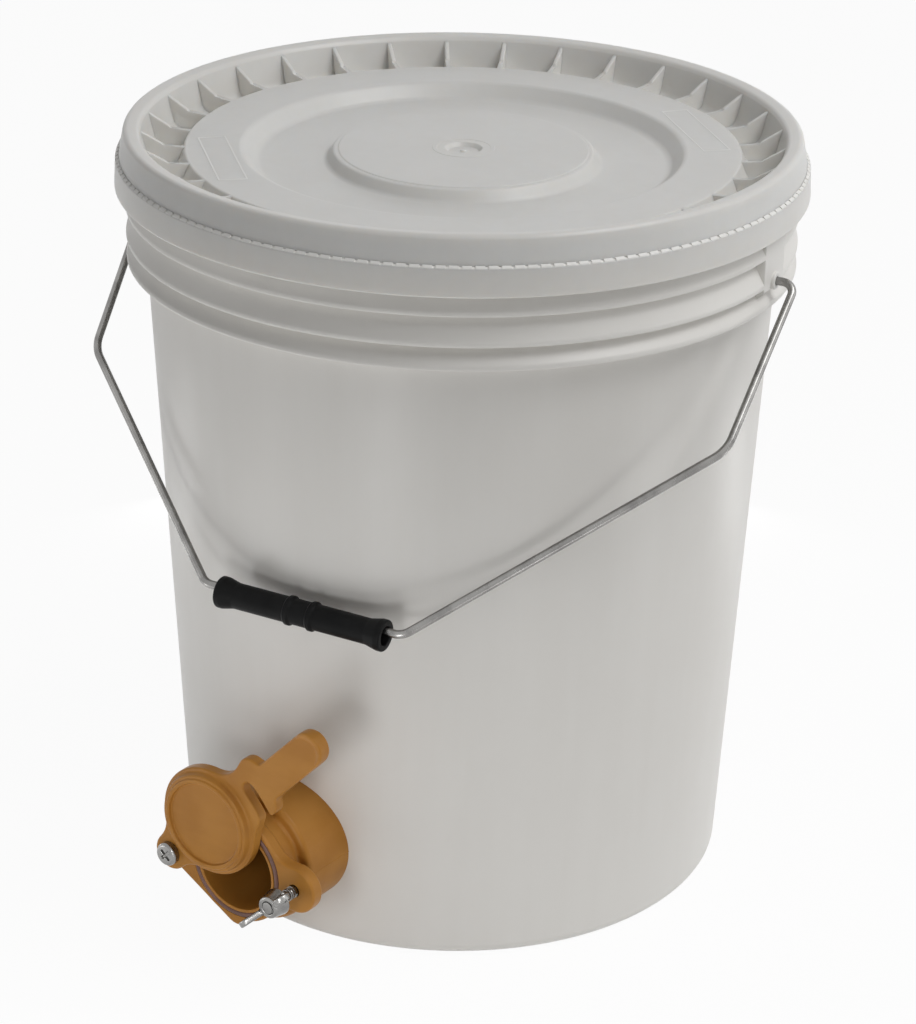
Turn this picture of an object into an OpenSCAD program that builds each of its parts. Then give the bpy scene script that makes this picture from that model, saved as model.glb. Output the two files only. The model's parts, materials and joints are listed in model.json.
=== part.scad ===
// Honey bucket with a swing gate: tapered pail, tamper band lid, wire bail and a shutter valve.
// The pail's axis is Z, the ground is Z = 0 and the gate looks along -Y.

/* [Pail] */
// Height of the pail to the top of its rim bead
pail_h = 372.4; // [340:0.1:400]
// Outer radius of the wall carried down to the ground
base_r = 134.5; // [126:0.5:142]
// How much wider the wall is at the rim's height than at the ground
taper_r = 20.1; // [16:0.1:24]
// Thickness of the wall
wall_t = 2.2; // [1.6:0.1:3]
// Thickness of the floor
floor_t = 2.8; // [2:0.1:5]
// Height of the floor's underside above the ground
foot_h = 5; // [3:0.5:9]
// Width of the foot ring that meets the ground
foot_w = 5; // [3:0.5:9]
// Radius of the rounded edge at the base
base_round = 8; // [5:0.5:10]
// Radius of the inside corner at the floor
floor_round = 6; // [3:0.5:8]

/* [Rim and ribs] */
// How far the ring ribs stand out from the wall's radius at the rim
rib_out = 6.4; // [4:0.1:8]
// Drop from the rim bead's top to the underside of the upper rib
rib_drop = 33.1; // [30:0.1:36]
// Drop from the upper rib's underside to the middle one's
rib_step = 14.3; // [11:0.1:18]
// Drop from the middle rib's underside to the lower one's
rib_low_step = 11; // [8:0.1:14]
// Height of the upright edge of a rib
rib_land = 2.2; // [1:0.1:4]
// How far a rib's sloping back stands off the wall at its root
rib_proud = 1.6; // [0.8:0.1:2.4]
// How far the neck above the ribs stands out from the wall's radius at the rim
neck_out = 2.9; // [2:0.1:3.6]
// Drop from the rim bead's top to the stacking shoulder inside
shoulder_drop = 23.5; // [22.6:0.1:27]
// Height of the stacking shoulder's slope
shoulder_h = 4; // [2:0.5:6]
// How far the rim bead stands out from the neck
bead_out = 3; // [2:0.1:4]
// Height of the rim bead
bead_h = 14; // [10:0.5:16]
// Radius of the rim bead's rounded top edges
bead_round = 1.8; // [0.8:0.1:2]

/* [Bail ears] */
// Turn of the line through the two ears, away from square to the gate
ear_turn = 9.2; // [-30:0.1:30]
// Drop from the rim bead's top to the ear bores
ear_drop = 46; // [42:0.5:50]
// How far the flat face of an ear lies inside the ribs' edges
ear_in = 0.4; // [0.2:0.1:1]
// Width of an ear block
ear_w = 24; // [18:0.5:34]
// Depth of the blind bore in an ear
ear_bore_depth = 7; // [5:0.5:8]
// Height of the sloped underside of an ear
ear_toe = 9.5; // [5:0.5:9.5]
// Radius of the raised rim round an ear's bore
ear_boss_r = 4.2; // [3:0.1:6]
// Height of the raised rim round an ear's bore
ear_boss_h = 1.6; // [0.6:0.1:2.4]

/* [Lid] */
// Thickness of the rim over the bead
rim_t = 5.1; // [4:0.1:6]
// Thickness of the skirt at its lower edge
skirt_t = 2.8; // [2.2:0.1:3.6]
// How much the skirt draws in towards the top
skirt_draft = 2.6; // [1:0.1:2.8]
// Drop from the rim's top to the line where the tear band parts
part_drop = 13.7; // [11:0.1:16]
// Radius of the rim's rounded outer edge
rim_round = 1.8; // [1:0.1:3]
// Width of the slope from the rim's top down to the plug wall
rim_slope_w = 1.2; // [0.8:0.1:2.4]
// How far the rim's inner edge lies below its top
rim_in_drop = 1; // [0.5:0.1:2]
// Thickness of the lid's panel
lid_t = 2.2; // [1.6:0.1:3]
// Thickness of the plug wall inside the neck
plug_t = 2; // [1.4:0.1:3]
// Drop from the rim's top to the floor of the trough
trough_drop = 19.1; // [16:0.1:22]
// Width of the trough between the plug wall and the raised annulus
trough_w = 20.5; // [16:0.5:26]
// Width of the raised annulus
annulus_w = 27; // [20:0.5:34]
// Drop from the rim's top to the annulus
annulus_drop = 10.9; // [9:0.1:13]
// Drop from the rim's top to the sunken field
field_drop = 18.1; // [15:0.1:20]
// Radius of the central raised disc
disc_r = 62; // [50:0.5:75]
// Drop from the rim's top to the central disc
disc_drop = 12.1; // [10:0.1:14]
// Width of the sloped steps between the levels
step_w = 7; // [4:0.1:9]
// Number of radial gussets in the trough
fin_n = 32; // [12:1:48]
// Turn of the gussets about the pail's axis
fin_turn = 5.1; // [0:0.1:11]
// Thickness of a gusset
fin_t = 2.2; // [1.4:0.1:3]
// Drop from the rim's top to a gusset's outer end
fin_drop = 2.7; // [2:0.1:4.5]
// Length of a gusset's level part beside the annulus
fin_level = 10; // [4:0.5:14]
// Height of the step where a gusset leaves its level part
fin_step = 1.2; // [0.4:0.1:2]

/* [Tear band] */
// Thickness of the tear band at its top
band_t = 4.4; // [3.8:0.1:5]
// How much the tear band flares towards its lower edge
band_flare = 0.7; // [0:0.1:0.8]
// Height of the tear band
band_h = 13.4; // [11:0.1:16]
// Thickness of the hook that catches under the rim bead
hook_h = 7.6; // [4:0.1:8]

/* [Bail] */
// Diameter of the bail wire
wire_d = 4; // [3:0.1:5]
// Gap between the pail's wall and the wire's axis beside the grip
bail_gap = 10.55; // [10:0.05:30]
// Distance from an ear's face to the bail's elbow
elbow_out = 10.9; // [9:0.1:16]
// How far the right shoulder bend lies inside the elbow
right_shoulder_in = 4.5; // [1:0.5:6]
// Depth of the right shoulder bend below the ears
right_shoulder_w = 89; // [80:0.5:110]
// How far the left shoulder bend lies inside the elbow
left_shoulder_in = 9; // [1:0.5:9.5]
// Depth of the left shoulder bend below the ears
left_shoulder_w = 101; // [80:0.5:110]
// How far the right heel bend lies beyond half the grip's length
right_heel_out = 5; // [4:0.5:16]
// Depth of the right end of the grip stretch below the ears
right_heel_w = 210.5; // [208:0.5:222]
// How far the left heel bend lies beyond half the grip's length
left_heel_out = 11.5; // [10:0.5:22]
// How much deeper the right heel bend lies than the left one
heel_slant = 3.5; // [0:0.5:6]
// Radius of the elbow bends, on the wire's axis
elbow_round = 6; // [4:0.5:8]
// Radius of the shoulder bends, on the wire's axis
shoulder_round = 18; // [8:0.5:30]
// Radius of the bends beside the grip, on the wire's axis
heel_round = 9; // [5:0.5:12]

/* [Grip] */
// Length of the grip
grip_len = 88; // [70:0.5:92]
// Outer radius of the grip's barrel
grip_r = 6.2; // [5.6:0.1:7]
// Outer radius of the flared ends
grip_end_r = 7.6; // [6.6:0.1:8.4]
// Length of a flared end
grip_end_len = 9; // [5:0.5:14]
// Radius of the bore through the grip
grip_bore_r = 4.6; // [3:0.1:5]
// Distance between the two ridges
ridge_gap = 12; // [8:0.5:20]
// Width of a ridge
ridge_w = 3.6; // [2:0.1:5]
// Height of a ridge over the barrel
ridge_h = 0.9; // [0.4:0.1:1.2]

/* [Gate body] */
// Height of the gate's bore above the ground
gate_z = 53.5; // [50:0.5:70]
// Distance from the pail's wall to the face of the flange
gate_reach = 41; // [36:0.5:52]
// Radius of the gate's bore
bore_r = 21.5; // [18:0.1:22]
// Thickness of the flange
flange_t = 7; // [5:0.5:9]
// Radius of the flange round the bore
flange_r = 28; // [27.6:0.1:29]
// Distance from the bore to the pivot
pivot_arm = 34.5; // [34.2:0.1:40]
// Distance from the bore to the clamp bolt
stud_arm = 35; // [34.2:0.1:42]
// Radius of the flange's ear at the pivot
pivot_ear_r = 10; // [8.5:0.1:11]
// Radius of the flange's ear at the clamp bolt
stud_ear_r = 11.8; // [9:0.1:12.5]
// Radius of the lobe at the bottom of the flange
lobe_r = 8; // [6:0.1:10]
// Drop from the bore to the middle of the bottom lobe
lobe_drop = 23.2; // [21:0.1:25]
// Radius of the hollow blends of the flange's outline
flange_blend = 13; // [8:0.5:18]
// Outer radius of the neck behind the flange
gate_neck_r = 27.5; // [26:0.1:28]
// How far the flare against the pail stands out from the neck
flare_out = 5.7; // [3:0.1:9]
// Length of the flare, its rounded shoulder left out
flare_len = 22.5; // [16:0.5:24]
// Radius of the flare's rounded shoulder, as a share of its step from the neck
flare_round_share = 0.7; // [0.3:0.05:1]
// Outer radius of the spigot through the pail's wall
spigot_r = 25; // [24:0.1:26]
// Reach of the spigot inside the pail's wall
spigot_len = 21; // [19:0.5:26]

/* [Gate seal] */
// Width of the raised lip round the bore
lip_w = 1.6; // [1:0.1:1.8]
// Height of the raised lip round the bore
lip_h = 0.3; // [0.1:0.1:0.4]
// Width of the seal groove
groove_w = 2.8; // [2.8:0.1:3]
// Depth of the seal groove
groove_d = 2.2; // [2:0.1:2.3]
// Radius of the seal's round section
seal_r = 1.35; // [1.2:0.05:1.35]

/* [Shutter] */
// Opening of the shutter as stored
shutter_open = 46; // [20:1:100]
// Thickness of the shutter plate
shutter_t = 6; // [5:0.1:7]
// Gap between the flange's face and the shutter
shutter_gap = 0.8; // [0.8:0.1:1.2]
// Radius of the shutter's disc
shutter_r = 27.4; // [27:0.1:29]
// Radius of the shutter's ear at the pivot
shutter_ear_r = 9.2; // [8:0.1:10]
// Radius of the hollow blends of the shutter's outline
shutter_blend = 15; // [8:0.5:20]
// Height of the raised middle of the disc over the plate
puck_h = 3.2; // [2:0.1:4]
// Radius of the raised middle at its top
puck_r = 24.4; // [23.4:0.1:25.4]
// How much the raised middle widens down to the plate
puck_draft = 1.4; // [0:0.1:1.6]
// Outer radius of the raised bead on the disc
ring_r = 23.2; // [21:0.1:24]
// Width of the raised bead on the disc
ring_w = 2.6; // [1.6:0.1:4]
// Height of the raised bead on the disc
ring_h = 0.9; // [0.5:0.1:1.2]
// Depth of the sunken face inside the bead
face_sink = 0.8; // [0.3:0.1:1.5]
// Width of the slot that takes the clamp bolt
slot_w = 7; // [6.6:0.1:8]
// Reach of the lever's tip from the pivot
lever_reach = 125.5; // [115:0.5:140]
// Width of the lever
lever_w = 17; // [13:0.5:18]
// Offset of the lever's middle from the line through the pivot and the disc
lever_off = 3; // [0:0.5:4]
// Width of the raised rim at the lever's tip
tip_rim = 3.4; // [2:0.1:5]
// Height of the raised rim at the lever's tip
tip_h = 1.4; // [0.6:0.1:2]
// Radius of the thumb bump beside the slot
bump_r = 7.2; // [5:0.1:8]
// Depth of the hook beside the slot below the line through the pivot and the disc
hook_drop = 16.5; // [14:0.1:18]

/* [Fasteners] */
// Diameter of the pivot screw and the clamp bolt
bolt_d = 6; // [5:0.1:6.2]
// Width across the flats of the nut and the bolt's head
hex_af = 10; // [8:0.1:11]
// Height of the pivot nut
nut_h = 5.2; // [4:0.1:6.5]
// Height of the clamp bolt's head
hex_head_h = 4; // [3:0.1:5]
// Radius of the pivot screw's head
pan_r = 5.8; // [4.8:0.1:6.4]
// Height of the pivot screw's head
pan_h = 4; // [3:0.1:5]
// Reach of the clamp bolt in front of the flange's face
stud_reach = 20; // [19:0.5:24]
// Height of the wing nut's hub
hub_h = 8.6; // [7:0.1:9]
// Radius of the wing nut's hub where it bears
hub_r = 6.8; // [5.5:0.1:7.5]
// Radius of the wing nut's hub at its outer end
hub_top_r = 5.3; // [4.6:0.1:6]
// Span over the wing nut's wings
wing_span = 36; // [28:0.5:40]
// Height of the wing nut's wings
wing_h = 15; // [12:0.5:18]
// Thickness of a wing
wing_t = 3; // [2:0.1:4]
// Turn of the wings as stored
wing_turn = 43; // [0:1:180]

/* [Inside fixing] */
// Outer radius of the rubber gasket
gasket_r = 33.5; // [31:0.1:36]
// Least thickness of the rubber gasket
gasket_t = 2; // [1.5:0.1:3]
// Outer radius of the ring nut
ring_nut_r = 32; // [29:0.1:34]
// Height of the ring nut
ring_nut_h = 9; // [6:0.5:10]
// Number of lugs on the ring nut
lug_n = 8; // [4:1:12]
// How far a lug stands out
lug_h = 2.5; // [1:0.1:3]
// Width of a lug
lug_w = 7; // [4:0.5:10]

/* [Clearances] */
// Gap between pieces that move past each other
move_gap = 0.3; // [0.3:0.05:0.4]
// Running gap round a bolt or screw
bolt_gap = 0.1; // [0.05:0.01:0.1]
// Gap where a curved face seats on another
seat_gap = 0.05; // [0.02:0.01:0.1]
// Gap at the line where the tear band parts
part_gap = 0.5; // [0.3:0.1:0.8]

/* [Hidden] */
$fn = 96;
// Overrun of every cut
cut = 1;
// Points along a rounded corner of a turned profile
arc_n = 8;
// Length and thickness of the sleeve over a seam of a bent rod
seam_len = 0.6;
seam_over = 0.02;

// Heights and radii of the pail
rim_wall_r = base_r + taper_r;
rib_r = rim_wall_r + rib_out;
neck_r = rim_wall_r + neck_out;
bead_r = neck_r + bead_out;
ear_face = rib_r - ear_in;
rib_z = pail_h - rib_drop;
mid_rib_z = rib_z - rib_step;
low_rib_z = mid_rib_z - rib_low_step;
floor_z = foot_h + floor_t;
shoulder_z = pail_h - shoulder_drop;
bead_z = pail_h - bead_h;
neck_in_r = neck_r - wall_t;
ear_z = pail_h - ear_drop;
wire_r = wire_d / 2;
bolt_r = bolt_d / 2;

// Heights of the lid
rim_z = pail_h + rim_t;
part_z = rim_z - part_drop;
trough_z = rim_z - trough_drop;
annulus_z = rim_z - annulus_drop;
field_z = rim_z - field_drop;
disc_z = rim_z - disc_drop;
plug_r = neck_in_r - move_gap;
plug_in_r = plug_r - plug_t;
skirt_in_r = bead_r + move_gap;
skirt_r = skirt_in_r + skirt_t;
rim_in_r = plug_in_r + rim_slope_w;
annulus_r = plug_in_r - trough_w;
annulus_in_r = annulus_r - annulus_w;
// Bevel in the corner under the rim that clears the bead's round edge
rim_bevel = 1;
// Moulded ring and dimple in the middle of the lid
eye_r = 15;
eye_w = 2;
eye_h = 0.6;
dimple_r = 9;
dimple_d = 1.4;

// Radius of the tear band, rounding of its edges and the slope of its hook
band_r = skirt_in_r + band_t;
band_edge = 0.8;
hook_slope = 1.6;

// Places of the gate
gate_wall_r = wall_r(gate_z);
flange_face = gate_wall_r + gate_reach;
stud_path = pivot_arm + stud_arm;
groove_r = bore_r + lip_w;
seal_path_r = groove_r + groove_w / 2;
shutter_front = shutter_gap + shutter_t;
flare_r = gate_neck_r + flare_out;
flare_round = flare_out * flare_round_share;
hex_r = hex_af / 2 / cos(30);
// Plane where the gasket meets the ring nut, measured back from the flange's face
gasket_sag = gate_wall_r - sqrt(pow(gate_wall_r, 2) - pow(gasket_r, 2));
gasket_lean = taper_r * gasket_r / pail_h;
gasket_back = gate_reach + wall_t + gasket_sag + gasket_lean + gasket_t;
spigot_back = gate_reach + wall_t + spigot_len;
// Rounded edge of the pan head and depth of its cross recess
pan_round = 1.6;
cross_w = 1.5;
cross_d = 1.8;
cross_reach = 3.2;
// Width of the raised rim's thin ends at the sides of the lever
tip_wall = 0.5;
// Rise of the hook's heel over its lowest edge
hook_heel = 2;
// Length of the pivot screw past its nut
screw_tail = 1;
// Radius of a wing's round tip, as a share of the wing's thickness
wing_tip_share = 1.4;

function wall_r(z) = base_r + taper_r * z / pail_h;
function wall_in_r(z) = wall_r(z) - wall_t;
// Points of an arc round c, from angle a to angle b
function arc(c, r, a, b) = [for (i = [0 : arc_n]) c + r * unit(a + (b - a) * i / arc_n)];
// Unit vector at an angle, and the heading from one point to another
function unit(a) = [cos(a), sin(a)];
function heading(p, q) = atan2(q[1] - p[1], q[0] - p[0]);
// Turn of a route at its point i, from -180 to 180
function turn(p, i) =
    let (t = heading(p[i], p[i + 1]) - heading(p[i - 1], p[i])) t - 360 * round(t / 360);
// Length that a bend of radius r takes off each side of its corner
function bite(p, r, i) = i == 0 || i == len(p) - 1 ? 0 : r[i] * tan(abs(turn(p, i)) / 2);

// Joined outline of two circles and the belt round them
module belt(c1, r1, c2, r2) {
    a = heading(c1, c2);
    b = acos((r1 - r2) / norm(c2 - c1));
    translate(c1) circle(r1);
    translate(c2) circle(r2);
    polygon([c1 + r1 * unit(a + b), c1 + r1 * unit(a - b),
        c2 + r2 * unit(a - b), c2 + r2 * unit(a + b)]);
}

// Hollow blend of radius r between two circles, left (1) or right (-1) of the line from c1 to c2
module blend(c1, r1, c2, r2, r, side) {
    d = norm(c2 - c1);
    a = acos((pow(r1 + r, 2) + pow(d, 2) - pow(r2 + r, 2)) / (2 * d * (r1 + r)));
    c = c1 + (r1 + r) * unit(heading(c1, c2) + side * a);
    difference() {
        polygon([c1, c2, c]);
        translate(c) circle(r);
    }
}

// Round rod along a flat route p with bend radii r, and a hair-thick sleeve over each seam
module bent_rod(p, r, rod_r) {
    for (i = [0 : len(p) - 2]) {
        h = heading(p[i], p[i + 1]);
        first = bite(p, r, i) + (i == 0 ? 0 : seam_len / 4);
        last = bite(p, r, i + 1) + (i == len(p) - 2 ? 0 : seam_len / 4);
        translate(p[i] + first * unit(h)) rotate([0, 90, h])
            cylinder(h = norm(p[i + 1] - p[i]) - first - last, r = rod_r);
    }
    for (i = [1 : len(p) - 2]) {
        h = heading(p[i - 1], p[i]);
        t = turn(p, i);
        side = sign(t);
        enter = p[i] - bite(p, r, i) * unit(h);
        leave = p[i] + bite(p, r, i) * unit(h + t);
        translate(enter + r[i] * unit(h + 90 * side)) rotate(side > 0 ? h - 90 : h + 90 + t)
            rotate_extrude(angle = abs(t)) translate([r[i], 0]) circle(rod_r);
        translate(enter) rotate([0, 90, h]) cylinder(h = seam_len, r = rod_r + seam_over, center = true);
        translate(leave) rotate([0, 90, h + t]) cylinder(h = seam_len, r = rod_r + seam_over, center = true);
    }
}

// Frame on the flange's face: x to the right, y up and z out of the gate
module at_gate() { translate([0, -flange_face, gate_z]) rotate([90, 0, 0]) children(); }

// Frame of the bail's plane: x along the ears, -y towards the grip
module at_bail() { rotate(ear_turn) translate([0, 0, ear_z]) rotate([90 - bail_lean, 0, 0]) children(); }

// Frame on the shutter's back at its pivot, with x towards the disc
module at_shutter() { at_gate() translate([-pivot_arm, 0, shutter_gap]) rotate(shutter_open) children(); }

// Solid cone of the pail's wall, grown by g
module wall_cone(g, inset) {
    low_r = base_r - inset + g;
    cylinder(h = pail_h, r1 = low_r, r2 = low_r + taper_r);
}

module pail_profile() {
    foot_r = wall_r(base_round) - base_round;
    foot_in_r = foot_r - foot_w;
    corner_r = wall_in_r(floor_z + floor_round) - floor_round;
    polygon(concat(
        [[0, foot_h], [foot_in_r - foot_h, foot_h], [foot_in_r, 0]],
        arc([foot_r, base_round], base_round, -90, 0),
        [[wall_r(low_rib_z), low_rib_z], [rib_r, low_rib_z], [rib_r, low_rib_z + rib_land]],
        [[wall_r(mid_rib_z) + rib_proud, mid_rib_z], [rib_r, mid_rib_z], [rib_r, mid_rib_z + rib_land]],
        [[wall_r(rib_z) + rib_proud, rib_z], [rib_r, rib_z], [rib_r, rib_z + rib_land]],
        [[neck_r, shoulder_z], [neck_r, bead_z], [bead_r, bead_z]],
        arc([bead_r - bead_round, pail_h - bead_round], bead_round, 0, 90),
        arc([neck_in_r + bead_round, pail_h - bead_round], bead_round, 90, 180),
        [[neck_in_r, shoulder_z], [wall_in_r(shoulder_z - shoulder_h), shoulder_z - shoulder_h]],
        arc([corner_r, floor_z + floor_round], floor_round, 0, -90),
        [[0, floor_z]]));
}

// Ear block on one side, with a flat face outwards and a sloped underside
module ear() {
    low_z = low_rib_z + rib_land;
    translate([0, ear_w / 2, 0]) rotate([90, 0, 0]) linear_extrude(ear_w)
        polygon([[wall_r(low_z) - wall_t / 2, low_z], [wall_r(low_z), low_z],
            [ear_face, low_rib_z + ear_toe], [ear_face, shoulder_z], [neck_in_r, shoulder_z]]);
}

// The ribs' edges end at the ear's flat face
module ear_flat() {
    translate([ear_face, -ear_w / 2, low_rib_z - cut])
        cube([ear_in + cut, ear_w, shoulder_z - low_rib_z + 2 * cut]);
}

// Raised rim round an ear's bore
module ear_boss() {
    translate([ear_face - ear_bore_depth, 0, ear_z]) rotate([0, 90, 0])
        cylinder(h = ear_bore_depth + ear_boss_h, r = ear_boss_r);
}

module ear_bore() {
    translate([ear_face - ear_bore_depth, 0, ear_z]) rotate([0, 90, 0])
        cylinder(h = ear_bore_depth + ear_boss_h + cut, r = wire_r + move_gap);
}

// One of something at each ear
module at_ears() { for (side = [0, 180]) rotate(ear_turn + side) children(); }

module pail_body() {
    color("whitesmoke") difference() {
        union() {
            difference() {
                union() {
                    rotate_extrude() pail_profile();
                    at_ears() ear();
                }
                at_ears() ear_flat();
            }
            at_ears() ear_boss();
        }
        at_ears() ear_bore();
        at_gate() translate([0, 0, -spigot_back]) cylinder(h = spigot_back, r = spigot_r + move_gap);
    }
}

module lid_profile() {
    skirt_top_r = skirt_r - skirt_draft;
    field_r = annulus_in_r - step_w;
    disc_foot_r = disc_r + step_w / 2;
    polygon(concat(
        [[skirt_in_r, part_z], [skirt_r, part_z]],
        arc([skirt_top_r - rim_round, rim_z - rim_round], rim_round, 0, 90),
        [[rim_in_r, rim_z - rim_in_drop], [plug_in_r, rim_z - 2 * rim_in_drop]],
        [[plug_in_r - lid_t / 2, trough_z]],
        [[annulus_r + step_w / 2, trough_z], [annulus_r, annulus_z], [annulus_in_r, annulus_z]],
        [[annulus_in_r - step_w / 4, annulus_z - step_w / 8]],
        [[field_r + step_w / 4, field_z + step_w / 8], [field_r, field_z], [disc_foot_r, field_z]],
        [[disc_r, disc_z - step_w / 8], [disc_r - step_w / 4, disc_z]],
        [[eye_r, disc_z], [eye_r, disc_z + eye_h]],
        [[eye_r - eye_w, disc_z + eye_h], [eye_r - eye_w, disc_z]],
        [[dimple_r, disc_z], [dimple_r - dimple_d, disc_z - dimple_d], [0, disc_z - dimple_d]],
        [[0, disc_z - dimple_d - lid_t], [dimple_r, disc_z - dimple_d - lid_t], [eye_r, disc_z - lid_t]],
        [[disc_r - lid_t, disc_z - lid_t], [disc_foot_r - lid_t / 2, field_z - lid_t]],
        [[field_r + lid_t / 2, field_z - lid_t]],
        [[annulus_in_r + lid_t / 2, annulus_z - lid_t], [annulus_r - lid_t, annulus_z - lid_t]],
        [[annulus_r, trough_z - lid_t], [plug_r - lid_t / 2, trough_z - lid_t]],
        [[plug_r, trough_z], [plug_r, pail_h], [skirt_in_r - rim_bevel, pail_h]],
        [[skirt_in_r, pail_h - rim_bevel]]));
}

// One radial gusset of the trough, level beside the annulus and rising to the rim
module fin() {
    inner = annulus_r - lid_t / 2;
    outer = plug_in_r + plug_t / 2;
    translate([0, fin_t / 2, 0]) rotate([90, 0, 0]) linear_extrude(fin_t)
        polygon([[inner, trough_z - lid_t / 2], [outer, trough_z - lid_t / 2], [outer, rim_z - fin_drop],
            [annulus_r + fin_level, annulus_z + fin_step], [annulus_r + fin_level, annulus_z],
            [inner, annulus_z]]);
}

module lid() {
    color("white") {
        rotate_extrude() lid_profile();
        for (i = [0 : fin_n - 1]) rotate(fin_turn + 360 * i / fin_n) fin();
    }
}

module tear_band() {
    top_z = part_z - part_gap;
    low_z = top_z - band_h;
    low_r = band_r + band_flare;
    hook_r = neck_r + move_gap;
    color("white") rotate_extrude() polygon([
        [skirt_in_r, top_z], [band_r - band_edge, top_z], [band_r, top_z - band_edge],
        [low_r, low_z + band_edge], [low_r - band_edge, low_z], [hook_r + hook_slope, low_z],
        [hook_r, bead_z - hook_h + hook_slope], [hook_r, bead_z], [skirt_in_r, bead_z]]);
}

// Lean of the hanging bail from straight down, where its grip lies bail_gap off the tapered wall
left_heel_w = right_heel_w - heel_slant;
bail_depth = (right_heel_w + left_heel_w) / 2;
bail_fall = taper_r * bail_depth / pail_h;
bail_off = wall_r(ear_z) + bail_gap;
bail_lean = asin(bail_off / norm([bail_depth, bail_fall])) - atan2(bail_fall, bail_depth);

// Route of the bail's wire in its plane, from the right ear to the left one
elbow_u = ear_face + elbow_out;
right_shoulder_u = elbow_u - right_shoulder_in;
left_shoulder_u = elbow_u - left_shoulder_in;
right_heel_u = grip_len / 2 + right_heel_out;
left_heel_u = grip_len / 2 + left_heel_out;
bail_seat_u = ear_face - ear_bore_depth + move_gap;
bail_route = [[bail_seat_u, 0], [elbow_u, 0], [right_shoulder_u, -right_shoulder_w],
    [right_heel_u, -right_heel_w], [-left_heel_u, -left_heel_w], [-left_shoulder_u, -left_shoulder_w],
    [-elbow_u, 0], [-bail_seat_u, 0]];
bail_rounds = [0, elbow_round, shoulder_round, heel_round, heel_round, shoulder_round, elbow_round, 0];

module bail_wire() { color("silver") at_bail() bent_rod(bail_route, bail_rounds, wire_r); }

// The grip hangs on the wire, so its axis lies below the wire's
grip_sag = grip_bore_r - wire_r - move_gap;
grip_mid = (bail_route[3] + bail_route[4]) / 2;
grip_heading = heading(bail_route[4], bail_route[3]);

module grip_profile() {
    half = grip_len / 2;
    ridge_in = ridge_gap / 2 - ridge_w / 2;
    ridge_out = ridge_gap / 2 + ridge_w / 2;
    right = concat(
        [[grip_r, ridge_in], [grip_r + ridge_h, ridge_in + ridge_h]],
        [[grip_r + ridge_h, ridge_out - ridge_h]],
        [[grip_r, ridge_out], [grip_r, half - grip_end_len], [grip_end_r, half - grip_end_len / 3]],
        [[grip_end_r, half - ridge_h], [grip_end_r - ridge_h, half], [grip_bore_r, half]]);
    left = [for (i = [len(right) - 1 : -1 : 0]) [right[i][0], -right[i][1]]];
    polygon(concat(left, right));
}

module bail_grip() {
    color("black") at_bail() translate(concat(grip_mid, 0))
        translate([0, -grip_sag * cos(bail_lean), -grip_sag * sin(bail_lean)])
            rotate([0, 90, grip_heading]) rotate_extrude() grip_profile();
}

module flange_outline() {
    bore = [0, 0];
    pivot = [-pivot_arm, 0];
    stud = [stud_arm, 0];
    lobe = [0, -lobe_drop];
    translate(bore) circle(flange_r);
    belt(pivot, pivot_ear_r, lobe, lobe_r);
    translate(stud) circle(stud_ear_r);
    blend(bore, flange_r, pivot, pivot_ear_r, flange_blend, -1);
    blend(bore, flange_r, stud, stud_ear_r, flange_blend, 1);
    blend(bore, flange_r, stud, stud_ear_r, flange_blend, -1);
}

// Neck and round-shouldered flare behind the flange, in the gate's frame
module gate_neck() {
    flare_z = flare_len - gate_reach;
    rotate_extrude() polygon(concat(
        [[0, -flange_t], [gate_neck_r, -flange_t], [gate_neck_r, flare_z + flare_round]],
        arc([flare_r - flare_round, flare_z], flare_round, 90, 0),
        [[flare_r, -spigot_back], [0, -spigot_back]]));
}

module gate_body() {
    color("peru") difference() {
        union() {
            at_gate() translate([0, 0, -flange_t]) linear_extrude(flange_t) flange_outline();
            at_gate() cylinder(h = lip_h, r = groove_r);
            difference() {
                at_gate() gate_neck();
                wall_cone(seat_gap, 0);
            }
            at_gate() translate([0, 0, -spigot_back]) cylinder(h = spigot_back - flange_t, r = spigot_r);
        }
        at_gate() {
            translate([0, 0, -spigot_back - cut]) cylinder(h = spigot_back + lip_h + 2 * cut, r = bore_r);
            translate([0, 0, -groove_d]) difference() {
                cylinder(h = groove_d + cut, r = groove_r + groove_w);
                translate([0, 0, -cut]) cylinder(h = groove_d + 3 * cut, r = groove_r);
            }
            for (x = [-pivot_arm, stud_arm])
                translate([x, 0, -flange_t - cut]) cylinder(h = flange_t + 2 * cut, r = bolt_r + bolt_gap);
        }
    }
}

module barrel_gasket() {
    color("dimgray") intersection() {
        at_gate() translate([0, 0, -gasket_back]) difference() {
            cylinder(h = gasket_back, r = gasket_r);
            translate([0, 0, -cut]) cylinder(h = gasket_back + 2 * cut, r = spigot_r + seat_gap);
        }
        wall_cone(-seat_gap, wall_t);
    }
}

module ring_nut() {
    back = gasket_back + ring_nut_h;
    color("peru") at_gate() translate([0, 0, -back]) linear_extrude(ring_nut_h) difference() {
        union() {
            circle(ring_nut_r);
            for (i = [0 : lug_n - 1])
                rotate(360 * i / lug_n) translate([0, -lug_w / 2]) square([ring_nut_r + lug_h, lug_w]);
        }
        circle(spigot_r + seat_gap);
    }
}

module shutter_seal() {
    color("rosybrown") at_gate() translate([0, 0, seal_r - groove_d]) rotate_extrude()
        translate([seal_path_r, 0]) circle(seal_r);
}

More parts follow.
